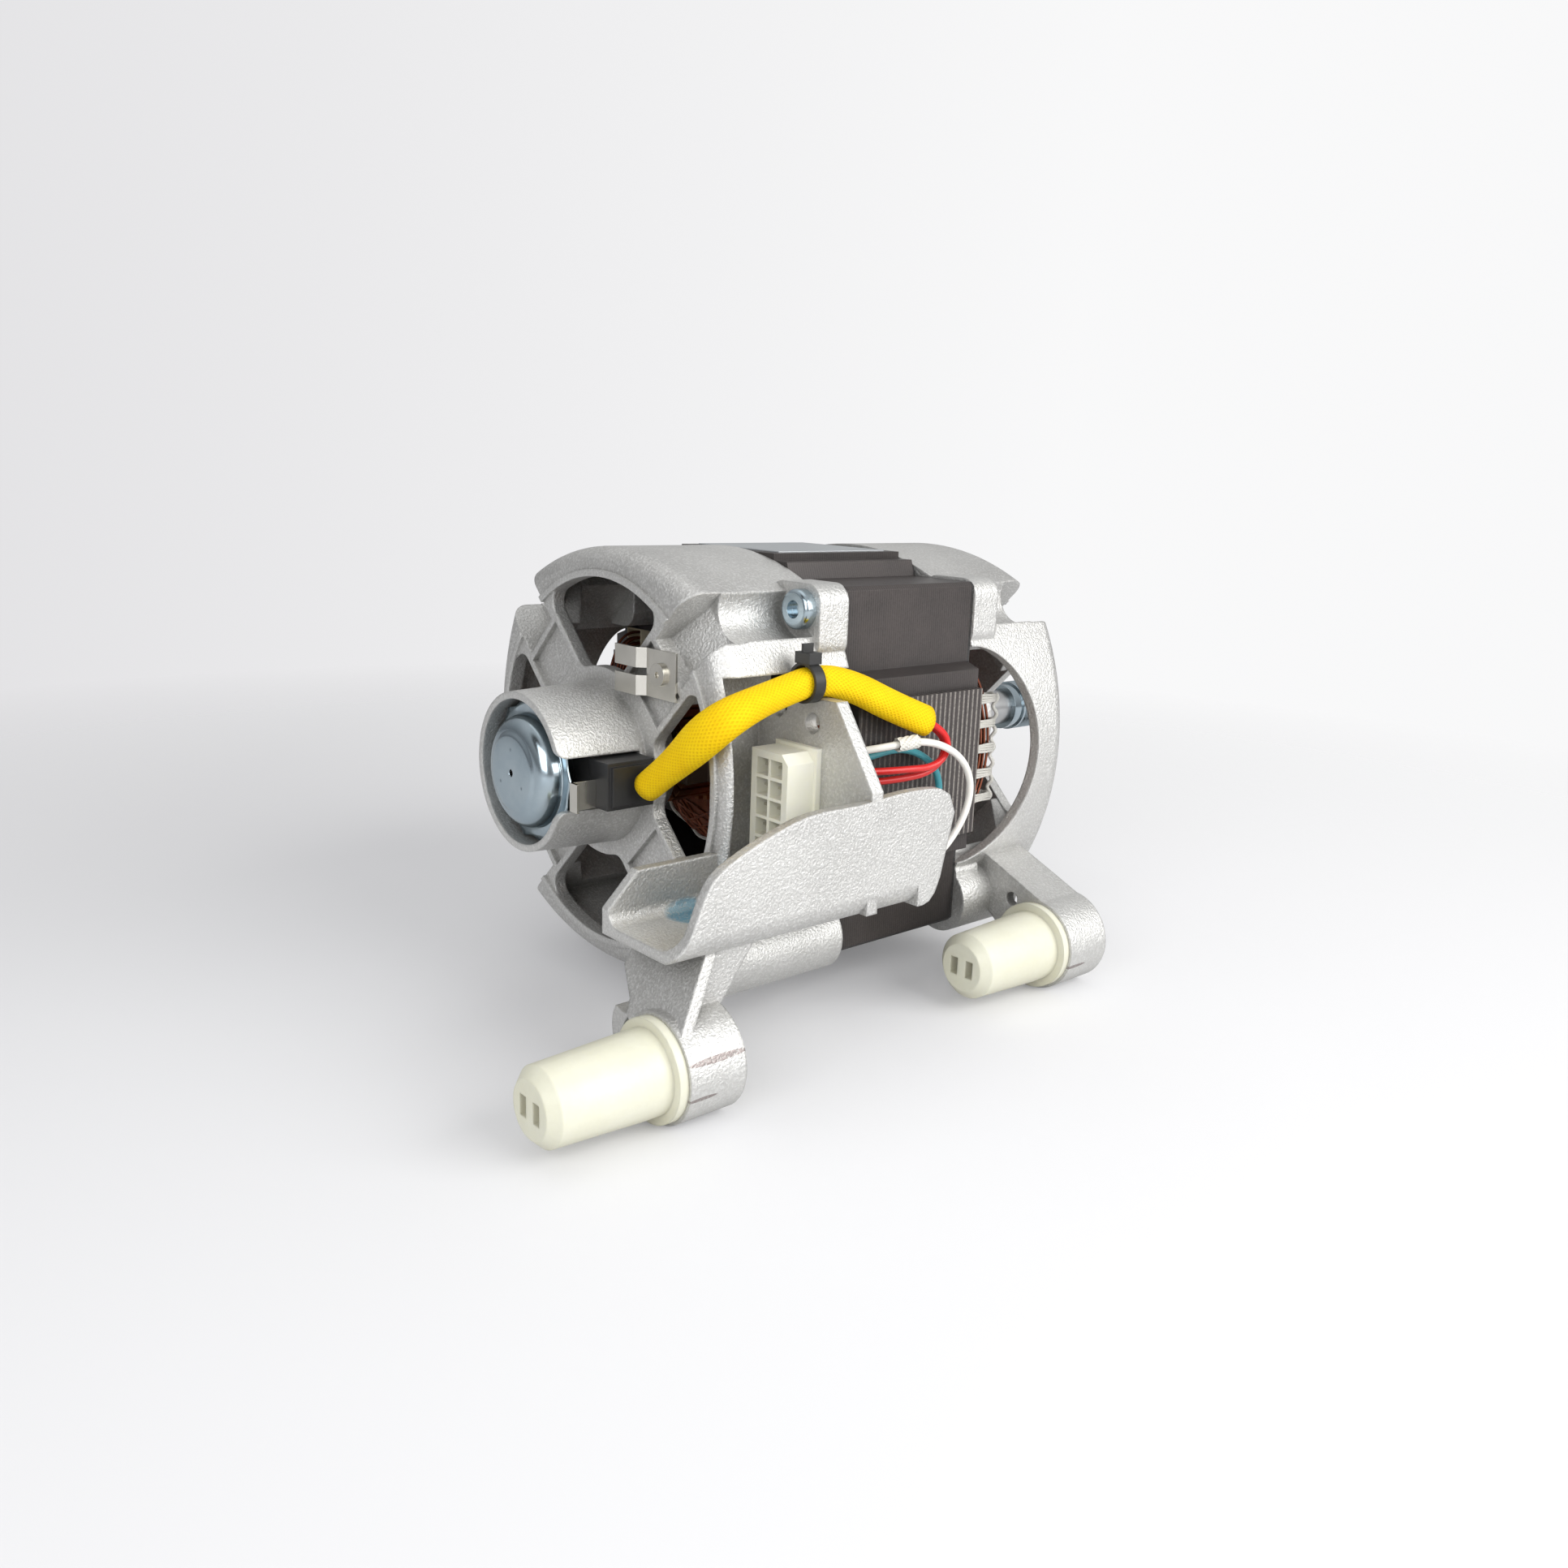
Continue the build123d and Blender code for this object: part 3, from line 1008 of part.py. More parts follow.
def pulley():
    start = X_PULLEY + COLLAR_LENGTH
    length = PULLEY_LENGTH - COLLAR_LENGTH - 2 * PULLEY_LAND
    pitch = length / RIB_COUNT
    low = PULLEY_R - PULLEY_RIB_DEPTH
    line = [(X_PULLEY, SHAFT_R), (X_PULLEY, COLLAR_R), (start, COLLAR_R), (start, PULLEY_R),
            (start + PULLEY_LAND, PULLEY_R)]
    for number in range(RIB_COUNT):
        base = start + PULLEY_LAND + pitch * number
        line += [(base + 0.35 * pitch, low), (base + 0.65 * pitch, low), (base + pitch, PULLEY_R)]
    line += [(0, PULLEY_R), (0, PULLEY_SINK_R), (-PULLEY_SINK, PULLEY_SINK_R), (-PULLEY_SINK, SHAFT_R)]
    return turned(*line)


def shield_screws():
    head = X_STACK_R - EAR_THICK
    screws = []
    for angle in (NEAR_TOP, NEAR_LOW, FAR_LOW, FAR_TOP):
        cap = rod(SCREW_HEAD_R, head - SCREW_HEAD, head, 0, SCREW_ALONG)
        cap = fillet(cap.edges().group_by(Axis.X)[0], SCREW_HEAD_ROUND)
        cap = cap + rod(SCREW_R, head, X_STACK_F + SCREW_BITE, 0, SCREW_ALONG)
        cap = cap - rod(SCREW_SOCKET_R, head - SCREW_HEAD - OVER, head - SCREW_HEAD + SCREW_SOCKET, 0, SCREW_ALONG)
        screws.append(at_corner(cap, angle).solid())
    return Compound(children=screws)


def peg(boss_start, boss_length):
    # the boss's rear face is at x = boss_start, the nose points to -X
    nose = boss_start - PEG_LENGTH
    collar = boss_start - PEG_FLANGE_LENGTH
    body = turned((boss_start + boss_length, 0), (boss_start + boss_length, PEG_SHANK_R), (boss_start, PEG_SHANK_R),
                  (boss_start, PEG_FLANGE_R), (collar, PEG_FLANGE_R), (collar, PEG_BODY_R),
                  (collar - PEG_COLLAR_LENGTH, PEG_BODY_R), (nose + PEG_NOSE_CHAMFER, PEG_NOSE_R),
                  (nose, PEG_NOSE_R - PEG_NOSE_CHAMFER), (nose, 0))
    for side in (-1, 1):
        y = side * PEG_SLOT_APART / 2
        body = body - block(nose - OVER, nose + PEG_SLOT_DEPTH, y - PEG_SLOT_WIDTH / 2, y + PEG_SLOT_WIDTH / 2,
                            -PEG_SLOT_HEIGHT / 2, PEG_SLOT_HEIGHT / 2)
    return Pos(0, -PEG_Y, PEG_Z) * body


def top_plate():
    middle = (X_STACK_F + X_STACK_R) / 2
    return block(middle - LABEL_LENGTH / 2, middle + LABEL_LENGTH / 2, -LABEL_WIDTH / 2, LABEL_WIDTH / 2,
                 BAND_HALF, BAND_HALF + LABEL_THICK)


# Everything is made and saved
save(rear_shield(), "rear_shield")
save(front_shield(), "front_shield")
save(stator_core(), "stator_core")
save(front_gasket(), "front_gasket")
save(top_plate(), "top_plate")
save(slot_liners(), "slot_liners")
near_coil = field_coil()
save(near_coil, "field_coil_near")
save(mirror(near_coil, about=Plane.XZ), "field_coil_far")
save(coil_lacing(), "coil_lacing")
save(shaft(), "shaft")
save(armature_core(), "armature_core")
save(armature_winding(), "armature_winding")
commutator_hub, commutator_bars = commutator()
save(commutator_hub, "commutator_hub")
save(commutator_bars, "commutator_bars")
FRONT_SEAT = X_FRONT - FRONT_SEAT_BACK
REAR_SEAT = X_REAR + REAR_LIP + WASHER_GAP
for place, values in (("front", (FRONT_SEAT, FRONT_BEARING_R, SHAFT_R, FRONT_BEARING_W)),
                      ("rear", (REAR_SEAT, REAR_BEARING_R, REAR_SHAFT_R, REAR_BEARING_W))):
    for kind, shape in zip(("outer", "inner", "balls", "seals"), bearing(*values)):
        save(shape, place + "_bearing_" + kind)
save(spring_washer(REAR_SEAT), "spring_washer")
for place, shape in zip(("brush_holder", "carbon_brush", "brush_spring"), brush_set()):
    save(shape, place + "_far")
    save(mirror(shape, about=Plane.XZ), place + "_near")
save(pipe(MAGNET_R, SENSOR_SHAFT_R, X_REAR - MAGNET_START - MAGNET_LENGTH, X_REAR - MAGNET_START), "sensor_magnet")
save(pipe(RING_R, RING_IN, X_REAR - RING_START - RING_LENGTH, X_REAR - RING_START), "sensor_ring")
save(sensor_plug(), "sensor_plug")
save(sensor_clip(), "sensor_clip")
save(sensor_cap(), "sensor_cap")
terminal, rivet = earth_terminal()
save(terminal, "earth_terminal")
save(rivet, "earth_rivet")
housing, pins = plug_housing()
save(housing, "plug_housing")
save(pins, "plug_blades")
save(cord(SLEEVE_LINE, Circle(SLEEVE_D / 2) - Circle(SLEEVE_BORE / 2), "yellow_sleeve"), "yellow_sleeve")
reds = [cord(line, Circle(WIRE_D / 2), "lead_red").solid() for line in (RED_LINE_A, RED_LINE_B)]
save(Compound(children=reds), "lead_red")
save(cord(WHITE_LINE, Circle(WIRE_D / 2), "lead_white"), "lead_white")
save(cord(BLUE_LINE, Circle(WIRE_D / 2), "lead_blue"), "lead_blue")
save(woven_sleeve(), "woven_sleeve")
save(cable_tie(), "cable_tie")
save(pulley(), "pulley")
save(shield_screws(), "shield_screws")
save(peg(X_REAR - REAR_BOSS_BACK, REAR_BOSS_LENGTH), "rear_peg")
save(peg(X_STACK_F + FRONT_BOSS_START, FRONT_BOSS_LENGTH), "front_peg")
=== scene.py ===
import bpy
import bmesh
import json
import math
from mathutils import Matrix, Vector


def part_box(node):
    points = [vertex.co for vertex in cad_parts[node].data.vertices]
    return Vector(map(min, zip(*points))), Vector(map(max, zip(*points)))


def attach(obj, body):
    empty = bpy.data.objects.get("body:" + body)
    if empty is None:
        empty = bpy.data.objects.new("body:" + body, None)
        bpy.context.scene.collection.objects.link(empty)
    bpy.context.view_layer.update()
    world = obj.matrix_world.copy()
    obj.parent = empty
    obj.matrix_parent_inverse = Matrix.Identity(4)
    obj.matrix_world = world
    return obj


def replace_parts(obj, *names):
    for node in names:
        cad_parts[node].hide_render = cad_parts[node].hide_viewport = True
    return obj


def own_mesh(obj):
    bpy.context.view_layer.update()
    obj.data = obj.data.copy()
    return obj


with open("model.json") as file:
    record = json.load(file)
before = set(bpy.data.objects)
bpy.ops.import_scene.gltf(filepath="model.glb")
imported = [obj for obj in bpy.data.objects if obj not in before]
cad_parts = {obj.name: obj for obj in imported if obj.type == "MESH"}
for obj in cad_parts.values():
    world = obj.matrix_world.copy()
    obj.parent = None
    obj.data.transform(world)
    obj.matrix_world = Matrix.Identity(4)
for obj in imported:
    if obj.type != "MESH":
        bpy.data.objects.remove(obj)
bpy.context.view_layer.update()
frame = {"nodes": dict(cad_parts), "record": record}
print("stage: frame loaded")

# Places in metres: the stack's two faces along the shaft, and the ground under the pegs
stackRear, stackFront, floorZ = -0.178, -0.118, -0.081


class Shade:
    # an output of a node, to be used in sums
    def __init__(self, tree, socket=None):
        self.tree = tree
        self.socket = socket

    def other(self, kind, out=0, settings=None, **inputs):
        # any node of this tree; a socket is given by its name, or as i0, i1 and so on by its place
        node = self.tree.nodes.new("ShaderNode" + kind)
        for name, value in (settings or {}).items():
            setattr(node, name, value)
        for name, value in inputs.items():
            place = int(name[1:]) if name[0] == "i" and name[1:].isdigit() else name.replace("_", " ")
            feed(node.inputs[place], value)
        return Shade(self.tree, node.outputs[out])

    def calc(self, operation, *values):
        places = {"i" + str(number): value for number, value in enumerate((self,) + values)}
        return self.other("Math", settings={"operation": operation}, **places)

    def vector(self, operation, value=None, out=0):
        places = {"i0": self} if value is None else {"i0": self, "i1": value}
        return self.other("VectorMath", out, {"operation": operation}, **places)

    def part(self, axis):
        return self.other("SeparateXYZ", axis, Vector=self)

    def __add__(self, value):
        return self.calc("ADD", value)

    def __sub__(self, value):
        return self.calc("SUBTRACT", value)

    def __rsub__(self, value):
        return self.other("Math", settings={"operation": "SUBTRACT"}, i0=value, i1=self)

    def __mul__(self, value):
        return self.calc("MULTIPLY", value)

    __radd__, __rmul__ = __add__, __mul__

    def __gt__(self, value):
        return self.calc("GREATER_THAN", value)

    def __lt__(self, value):
        return self.calc("LESS_THAN", value)


def feed(place, value):
    # a link for a socket, and otherwise the socket's own value
    if isinstance(value, Shade):
        value.tree.links.new(value.socket, place)
    elif place.type == "RGBA":
        place.default_value = (*value, 1)
    else:
        place.default_value = value


def ramp(value, low, high):
    return value.other("MapRange", i0=value, i1=low, i2=high, i3=0.0, i4=1.0)


def mixed(share, first, second):
    return share.other("Mix", 2, {"data_type": "RGBA"}, i0=share, i6=first, i7=second)


def noise(coords, scale, detail, stretch, rough):
    if stretch:
        coords = coords.other("Mapping", Vector=coords, Scale=stretch)
    return coords.other("TexNoise", Vector=coords, Scale=scale, Detail=detail, Roughness=rough)


def stripes(coords, axis, pitch, share):
    # 1 on lines across one axis, share of the pitch wide
    return coords.part(axis).calc("DIVIDE", pitch).calc("FRACT") < share


def near(coords, point, radius, soft, stretch=(1, 1, 1)):
    # 1 inside a ball about a point, 0 outside it
    far = coords.vector("SUBTRACT", point).vector("MULTIPLY", stretch).vector("LENGTH", out=1)
    return ramp(far, radius, radius - soft)


# What a finish has unless its own entry says otherwise; lengths in metres, scales per metre.
# lines: axis, pitch, share of it, depth. ribs: pitch, share, how far out they start, depth, colour.
# braid: threads round the tube, pitch, depth. marks: place, radius, soft edge, stretch, colour
plainLook = {
    "patchScale": 60.0, "patchStretch": None, "patchDetail": 4.0, "patchRange": (0.35, 0.65),
    "grainScale": 1500.0, "grainStretch": None, "grainDetail": 2.0, "grainDepth": 0.0, "noiseRough": 0.6,
    "speckle": 0.0, "fleckRange": (0.3, 0.75), "lines": (), "lineShare": 0.3,
    "ribs": None, "ribWear": (0.1, 0.6), "braid": None, "gapRange": (0.8, -0.3), "gapShare": 0.5,
    "marks": (), "markWear": (0.2, 0.5), "rough": 0.5, "roughVary": 0.12, "roughRange": (0.2, 0.8),
    # The next keys set painted shade in hollows and corners, with the tint of dirt, and more roughness there
    "shadeAndDirt": 0.0, "shadeAndDirtReach": 0.012, "shadeAndDirtRange": (0.85, 0.25), "shadeAndDirtColor": (0.12, 0.1, 0.08),
    "shadeAndDirtRough": 0.2, "edge": 0.0, "edgeRange": (0.52, 0.62), "edgeColor": (0.8, 0.8, 0.78),
    "bevel": 0.0004, "bump": 0.6, "metal": 0.0, "coat": 0.0, "coatRough": 0.15, "sheen": 0.0,
    "gloss": 0.5, "glow": 0.0, "glowReach": (0.004, 0.004, 0.003)}


def finish(name, ownLook):
    base = ownLook["color"]
    look = {**plainLook, "color2": base, "fleck": base, "lineColor": base, **ownLook}
    material = bpy.data.materials.new(name)
    material.use_nodes = True
    tree = material.node_tree
    coords = Shade(tree).other("TexCoord", "Object")
    rough = look["noiseRough"]
    patches = noise(coords, look["patchScale"], look["patchDetail"], look["patchStretch"], rough)
    grain = noise(coords, look["grainScale"], look["grainDetail"], look["grainStretch"], rough)
    color = mixed(ramp(patches, *look["patchRange"]), base, look["color2"])
    color = mixed(ramp(grain, *look["fleckRange"]) * look["speckle"], color, look["fleck"])
    height = grain * look["grainDepth"]
    for axis, pitch, share, depth in look["lines"]:
        line = stripes(coords, axis, pitch, share)
        color = mixed(line * look["lineShare"], color, look["lineColor"])
        height = height + line * depth
    if look["ribs"]:  # bright cut edges, only on the side with the connector
        pitch, share, reach, depth, tone = look["ribs"]
        ribs = stripes(coords, "X", pitch, share) * (coords.part("Y") < -reach)
        color = mixed(ribs * ramp(grain, *look["ribWear"]), color, tone)
        height = height + ribs * depth
    if look["braid"]:  # two sets of threads that cross, from the tube's own coordinates
        around, pitch, depth = look["braid"]
        own = Shade(tree).other("TexCoord", "UV")
        turned = own.part("X") * (around * math.tau)
        along = own.part("Y") * (math.tau / pitch)
        threads = (turned + along).calc("SINE").calc("MAXIMUM", (turned - along).calc("SINE"))
        color = mixed(ramp(threads, *look["gapRange"]) * look["gapShare"], color, look["color3"])
        height = height + threads * depth
    for point, radius, soft, stretch, tone in look["marks"]:
        spot = near(coords, point, radius, soft, stretch) * ramp(grain, *look["markWear"])
        color = mixed(spot, color, tone)
    roughness = ramp(patches, *look["roughRange"]) * look["roughVary"] + look["rough"]
    # Painted shade and dirt: hollows and corners that ambient occlusion finds turn towards a darker tone and
    # grow rougher
    if look["shadeAndDirt"]:
        light = coords.other("AmbientOcclusion", 1, {"samples": 4}, Distance=look["shadeAndDirtReach"])
        shadeAndDirtMask = ramp(light, *look["shadeAndDirtRange"]) * look["shadeAndDirt"]
        color = mixed(shadeAndDirtMask, color, look["shadeAndDirtColor"])
        roughness = roughness + shadeAndDirtMask * look["shadeAndDirtRough"]
    if look["edge"]:
        bent = Shade(tree).other("NewGeometry", "Pointiness")
        color = mixed(ramp(bent, *look["edgeRange"]) * look["edge"], color, look["edgeColor"])
    bevel = coords.other("Bevel", settings={"samples": 4}, Radius=look["bevel"])
    bump = coords.other("Bump", Strength=look["bump"], Distance=1.0, Height=height, Normal=bevel)
    surface = {
        "Base Color": color, "Roughness": roughness, "Normal": bump, "Metallic": look["metal"],
        "Coat Weight": look["coat"], "Coat Roughness": look["coatRough"], "Sheen Weight": look["sheen"],
        "Specular IOR Level": look["gloss"], "Subsurface Weight": look["glow"],
        "Subsurface Radius": look["glowReach"]}
    for place, value in surface.items():
        feed(tree.nodes["Principled BSDF"].inputs[place], value)
    return material


penInk = (0.10, 0.035, 0.03)
looks = {
    "cast_aluminium": {
        "color": (0.56, 0.555, 0.54), "color2": (0.63, 0.625, 0.61), "patchScale": 30.0,
        "grainScale": 1200.0, "grainDepth": 0.00045, "speckle": 0.5, "fleck": (0.95, 0.95, 0.94),
        # Painted shade, brownish like dirt, darkens its corners and hollows
        "fleckRange": (0.46, 0.68), "metal": 0.8, "rough": 0.40, "shadeAndDirt": 0.55,
        "shadeAndDirtColor": (0.10, 0.095, 0.085), "edge": 0.35, "bevel": 0.0011, "bump": 0.75,
        "marks": [((-0.2415, -0.0690, -0.0310), 0.0075, 0.0015, (0.8, 0.8, 1.6), (0.13, 0.36, 0.50)),
                  ((-0.2580, -0.1025, -0.0590), 0.0088, 0.0008, (0.85, 1.0, 9.0), penInk),
                  ((-0.2640, -0.1033, -0.0690), 0.0050, 0.0006, (0.9, 1.0, 8.0), penInk),
                  ((-0.1000, -0.1032, -0.0695), 0.0060, 0.0006, (0.9, 1.0, 9.0), penInk)]},
    "laminations": {
        "color": (0.033, 0.028, 0.027), "color2": (0.050, 0.041, 0.039), "metal": 0.35, "rough": 0.36,
        "lines": [("X", 0.0010, 0.45, 0.00005)], "lineShare": 0.35, "lineColor": (0.105, 0.088, 0.085),
        "ribs": (0.0023, 0.35, 0.0668, 0.00030, (0.30, 0.275, 0.25)), "grainDepth": 0.00003,
        # Painted shade: its hollows go nearly black, for the dark inside of the motor
        "bump": 0.7, "shadeAndDirt": 0.85, "shadeAndDirtReach": 0.045, "shadeAndDirtColor": (0.008, 0.007, 0.007),
        "coat": 0.2, "speckle": 0.10, "fleck": (0.22, 0.20, 0.19)},
    "black_varnish": {
        "color": (0.016, 0.015, 0.015), "rough": 0.22, "grainScale": 260.0, "grainDepth": 0.0006,
        "coat": 0.5},
    "bare_plate": {
        "color": (0.62, 0.65, 0.67), "metal": 0.6, "rough": 0.3, "grainStretch": (1, 30, 1),
        "grainDepth": 0.00002},
    "slot_paper": {
        "color": (0.62, 0.55, 0.40), "color2": (0.50, 0.42, 0.28), "rough": 0.8, "grainDepth": 0.00005},
    "copper_wire": {
        "color": (0.50, 0.150, 0.070), "color2": (0.34, 0.090, 0.045), "patchScale": 260.0,
        "patchStretch": (1, 1, 0.2), "metal": 0.8, "rough": 0.26, "coat": 0.5, "grainDepth": 0.00002,
        # Painted shade: nearly black deep among the windings
        "shadeAndDirt": 0.7, "shadeAndDirtReach": 0.03, "shadeAndDirtColor": (0.03, 0.01, 0.006)},
    "white_cord": {
        "color": (0.86, 0.85, 0.80), "color2": (0.74, 0.72, 0.66), "color3": (0.50, 0.47, 0.41),
        "braid": (10, 0.0016, 0.00012), "rough": 0.8, "sheen": 0.2},
    "shaft_steel": {
        "color": (0.52, 0.53, 0.54), "color2": (0.60, 0.60, 0.60), "metal": 1.0, "rough": 0.24,
        "grainStretch": (40, 1, 1), "grainDepth": 0.00001},
    "zinc_steel": {
        "color": (0.50, 0.585, 0.635), "color2": (0.40, 0.49, 0.55), "patchScale": 70.0, "metal": 1.0,
        # Painted shade: a little darker in its hollows
        "rough": 0.13, "grainDepth": 0.00001, "shadeAndDirt": 0.12, "shadeAndDirtColor": (0.10, 0.10, 0.10),
        "bevel": 0.0002,
        # Painted shade: three dark spots where the cap's three pressed dimples sit; the mesh has no dimples
        "marks": [((-0.2617, 0.0075 * math.sin(turn), 0.0075 * math.cos(turn)), 0.0010, 0.0005,
                   (1, 1, 1), (0.06, 0.07, 0.09)) for turn in (0, math.tau / 3, 2 * math.tau / 3)]},
    "nickel_steel": {
        "color": (0.74, 0.72, 0.66), "color2": (0.62, 0.60, 0.55), "metal": 1.0, "rough": 0.18,
        "grainDepth": 0.00002, "bevel": 0.0002},
    "bearing_steel": {"color": (0.52, 0.52, 0.53), "metal": 1.0, "rough": 0.18, "bevel": 0.0003},
    "seal_rubber": {"color": (0.018, 0.018, 0.018), "rough": 0.6},
    "copper_bars": {
        "color": (0.48, 0.20, 0.09), "color2": (0.36, 0.15, 0.07), "metal": 1.0, "rough": 0.3,
        "grainStretch": (1, 40, 40), "grainDepth": 0.00002},
    "moulded_resin": {
        "color": (0.045, 0.028, 0.018), "color2": (0.07, 0.045, 0.03), "rough": 0.45,
        "grainDepth": 0.00003},
    "black_plastic": {
        "color": (0.020, 0.020, 0.021), "color2": (0.030, 0.030, 0.030), "rough": 0.34,
        # Painted shade: a little darker in its hollows
        "grainDepth": 0.00003, "bevel": 0.0006, "shadeAndDirt": 0.1, "shadeAndDirtColor": (0.05, 0.05, 0.05)},
    "ivory_plastic": {
        "color": (0.92, 0.91, 0.80), "color2": (0.88, 0.87, 0.74), "rough": 0.36, "glow": 0.35,
        # Painted shade, yellowish like dirt, in its hollows
        "grainDepth": 0.00002, "bevel": 0.0004, "shadeAndDirt": 0.12, "shadeAndDirtColor": (0.50, 0.46, 0.36)},
    "nylon": {
        "color": (0.76, 0.755, 0.635), "color2": (0.72, 0.71, 0.57), "patchScale": 45.0, "rough": 0.34,
        # Painted shade, yellowish like dirt, in its hollows
        "glow": 0.3, "grainScale": 700.0, "grainDepth": 0.00003, "bevel": 0.0009, "shadeAndDirt": 0.35,
        "shadeAndDirtColor": (0.45, 0.41, 0.30), "speckle": 0.08, "fleck": (0.50, 0.46, 0.36)},
    "carbon": {"color": (0.02, 0.02, 0.02), "rough": 0.5, "grainDepth": 0.00003},
    "magnet": {"color": (0.03, 0.03, 0.032), "rough": 0.45, "metal": 0.3, "grainDepth": 0.00004},
    "yellow_weave": {
        "color": (0.95, 0.66, 0.006), "color2": (0.90, 0.58, 0.004), "color3": (0.72, 0.40, 0.002),
        "braid": (24, 0.0017, 0.00008), "patchScale": 90.0, "rough": 0.7, "gloss": 0.15, "bump": 0.9},
    "red_lead": {"color": (0.72, 0.012, 0.012), "color2": (0.62, 0.010, 0.010), "rough": 0.3, "coat": 0.2},
    "white_lead": {"color": (0.88, 0.87, 0.83), "color2": (0.84, 0.82, 0.76), "rough": 0.32, "coat": 0.2},
    "blue_lead": {"color": (0.06, 0.36, 0.42), "color2": (0.05, 0.31, 0.37), "rough": 0.3, "coat": 0.2},
}
materials = {name: finish(name, ownLook) for name, ownLook in looks.items()}
slotOf = {entry["node"]: entry["material_slot"] for entry in frame["record"]["subparts"]}
sharpFrom = math.radians(30)  # two faces that meet at more than this show an edge
for nodeName, obj in frame["nodes"].items():
    for group in (obj if isinstance(obj, (list, tuple)) else [obj]):
        group.data.materials.clear()
        group.data.materials.append(materials[slotOf[nodeName]])
        group.data.polygons.foreach_set("use_smooth", [True] * len(group.data.polygons))
        group.data.set_sharp_from_angle(angle=sharpFrom)
print("stage: materials on", len(slotOf), "nodes")


def newPiece(name, mesh, slot, body="stator"):
    obj = bpy.data.objects.new(name, mesh)
    bpy.context.collection.objects.link(obj)
    if isinstance(mesh, bpy.types.Mesh):
        mesh.polygons.foreach_set("use_smooth", [True] * len(mesh.polygons))
    mesh.materials.append(materials[slot])
    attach(obj, body)
    return obj


def nurbs(name, points, radius):
    curve = bpy.data.curves.new(name, "CURVE")
    curve.dimensions = "3D"
    curve.resolution_u = 10
    spline = curve.splines.new("NURBS")
    spline.points.add(len(points) - 1)
    for place, point in zip(spline.points, points):
        place.co = (*point, 1)
    spline.order_u = 3
    spline.use_endpoint_u = True
    curve.bevel_depth = radius
    curve.bevel_resolution = 5
    return curve


def routePoints(points):
    # the route's own line, as a list of points
    curve = nurbs("route", points, 0)
    obj = bpy.data.objects.new("route", curve)
    mesh = bpy.data.meshes.new_from_object(obj)
    line = [corner.co.copy() for corner in mesh.vertices]
    bpy.data.objects.remove(obj)
    bpy.data.curves.remove(curve)
    bpy.data.meshes.remove(mesh)
    return line


def tube(name, line, radiusAt, around):
    # a tube along a line of points; its radius follows the share of its length and the angle
    mesh = bpy.data.meshes.new(name)
    shell = bmesh.new()
    side = Vector((0, 0, 1))
    rings, lengths = [], []
    total = sum((b - a).length for a, b in zip(line, line[1:]))
    done = 0.0
    for number, point in enumerate(line):
        before, after = line[max(number - 1, 0)], line[min(number + 1, len(line) - 1)]
        along = (after - before).normalized()
        side = (side - along * side.dot(along)).normalized()
        up = along.cross(side)
        if number:
            done += (point - line[number - 1]).length
        ring = []
        for step in range(around):
            angle = math.tau * step / around
            radius = radiusAt(done / total, angle)
            ring.append(shell.verts.new(point + (side * math.cos(angle) + up * math.sin(angle)) * radius))
        rings.append(ring)
        lengths.append(done)
    own = shell.loops.layers.uv.new("own")  # round the tube from 0 to 1, and metres along it
    for number, (first, second) in enumerate(zip(rings, rings[1:])):
        for step in range(around):
            after = (step + 1) % around
            face = shell.faces.new((first[step], first[after], second[after], second[step]))
            corners = ((step, number), (step + 1, number), (step + 1, number + 1), (step, number + 1))
            for loop, (turned, place) in zip(face.loops, corners):
                loop[own].uv = (turned / around, lengths[place])
    shell.to_mesh(mesh)
    shell.free()
    return mesh


def merged(name, meshes):
    whole = bpy.data.meshes.new(name)
    gather = bmesh.new()
    for mesh in meshes:
        gather.from_mesh(mesh)
        bpy.data.meshes.remove(mesh)
    gather.to_mesh(whole)
    gather.free()
    return whole


def mm(points):
    # points written from the stack's rear face, in millimetres
    return [(stackRear + x * 0.001, y * 0.001, z * 0.001) for x, y, z in points]


# The woven yellow sleeve: wide between the plug and the tie, drawn together by the tie, open in front
sleeve = {
    "route": [(-58.2, -37.2, -0.3), (-57.6, -51.3, 10.0), (-57.8, -64.9, 20.9), (-52.0, -71.0, 27.7),
              (-33.5, -68.4, 31.4), (-18.5, -69.8, 35.0), (-6.0, -72.6, 31.8), (8.5, -75.1, 24.6),
              (22.0, -76.9, 19.2)],
    "radius": 0.00465, "wall": 0.0007, "around": 40,
    "fold": 0.00012, "foldsAround": 5, "foldTwist": 9, "foldElsewhere": 0.4,
    "belly": 0.0018, "bellyAt": 0.28, "bellyReach": 0.13, "nipAt": 0.60, "nipReach": 0.04,
    "frontMore": 0.0008, "frontFrom": 0.62, "frontOver": 0.2}


def sleeveRadius(share, angle):
    nip = math.exp(-((share - sleeve["nipAt"]) / sleeve["nipReach"]) ** 2)
    belly = math.exp(-((share - sleeve["bellyAt"]) / sleeve["bellyReach"]) ** 2)
    front = min(1.0, max(0.0, (share - sleeve["frontFrom"]) / sleeve["frontOver"]))
    wide = sleeve["radius"] + sleeve["belly"] * belly * (1 - nip) + sleeve["frontMore"] * front
    oval = 1 / math.hypot(math.cos(angle) / wide, math.sin(angle) / sleeve["radius"])
    wave = math.sin(sleeve["foldsAround"] * angle + sleeve["foldTwist"] * share)
    return oval + sleeve["fold"] * wave * (sleeve["foldElsewhere"] + nip)


sleeveMesh = tube("yellow_sleeve_weave", routePoints(mm(sleeve["route"])), sleeveRadius, sleeve["around"])
sleevePiece = newPiece("yellow_sleeve_weave", sleeveMesh, "yellow_weave")
wall = sleevePiece.modifiers.new("wall", "SOLIDIFY")
wall.thickness = sleeve["wall"]
wall.offset = -1
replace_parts(sleevePiece, "yellow_sleeve")

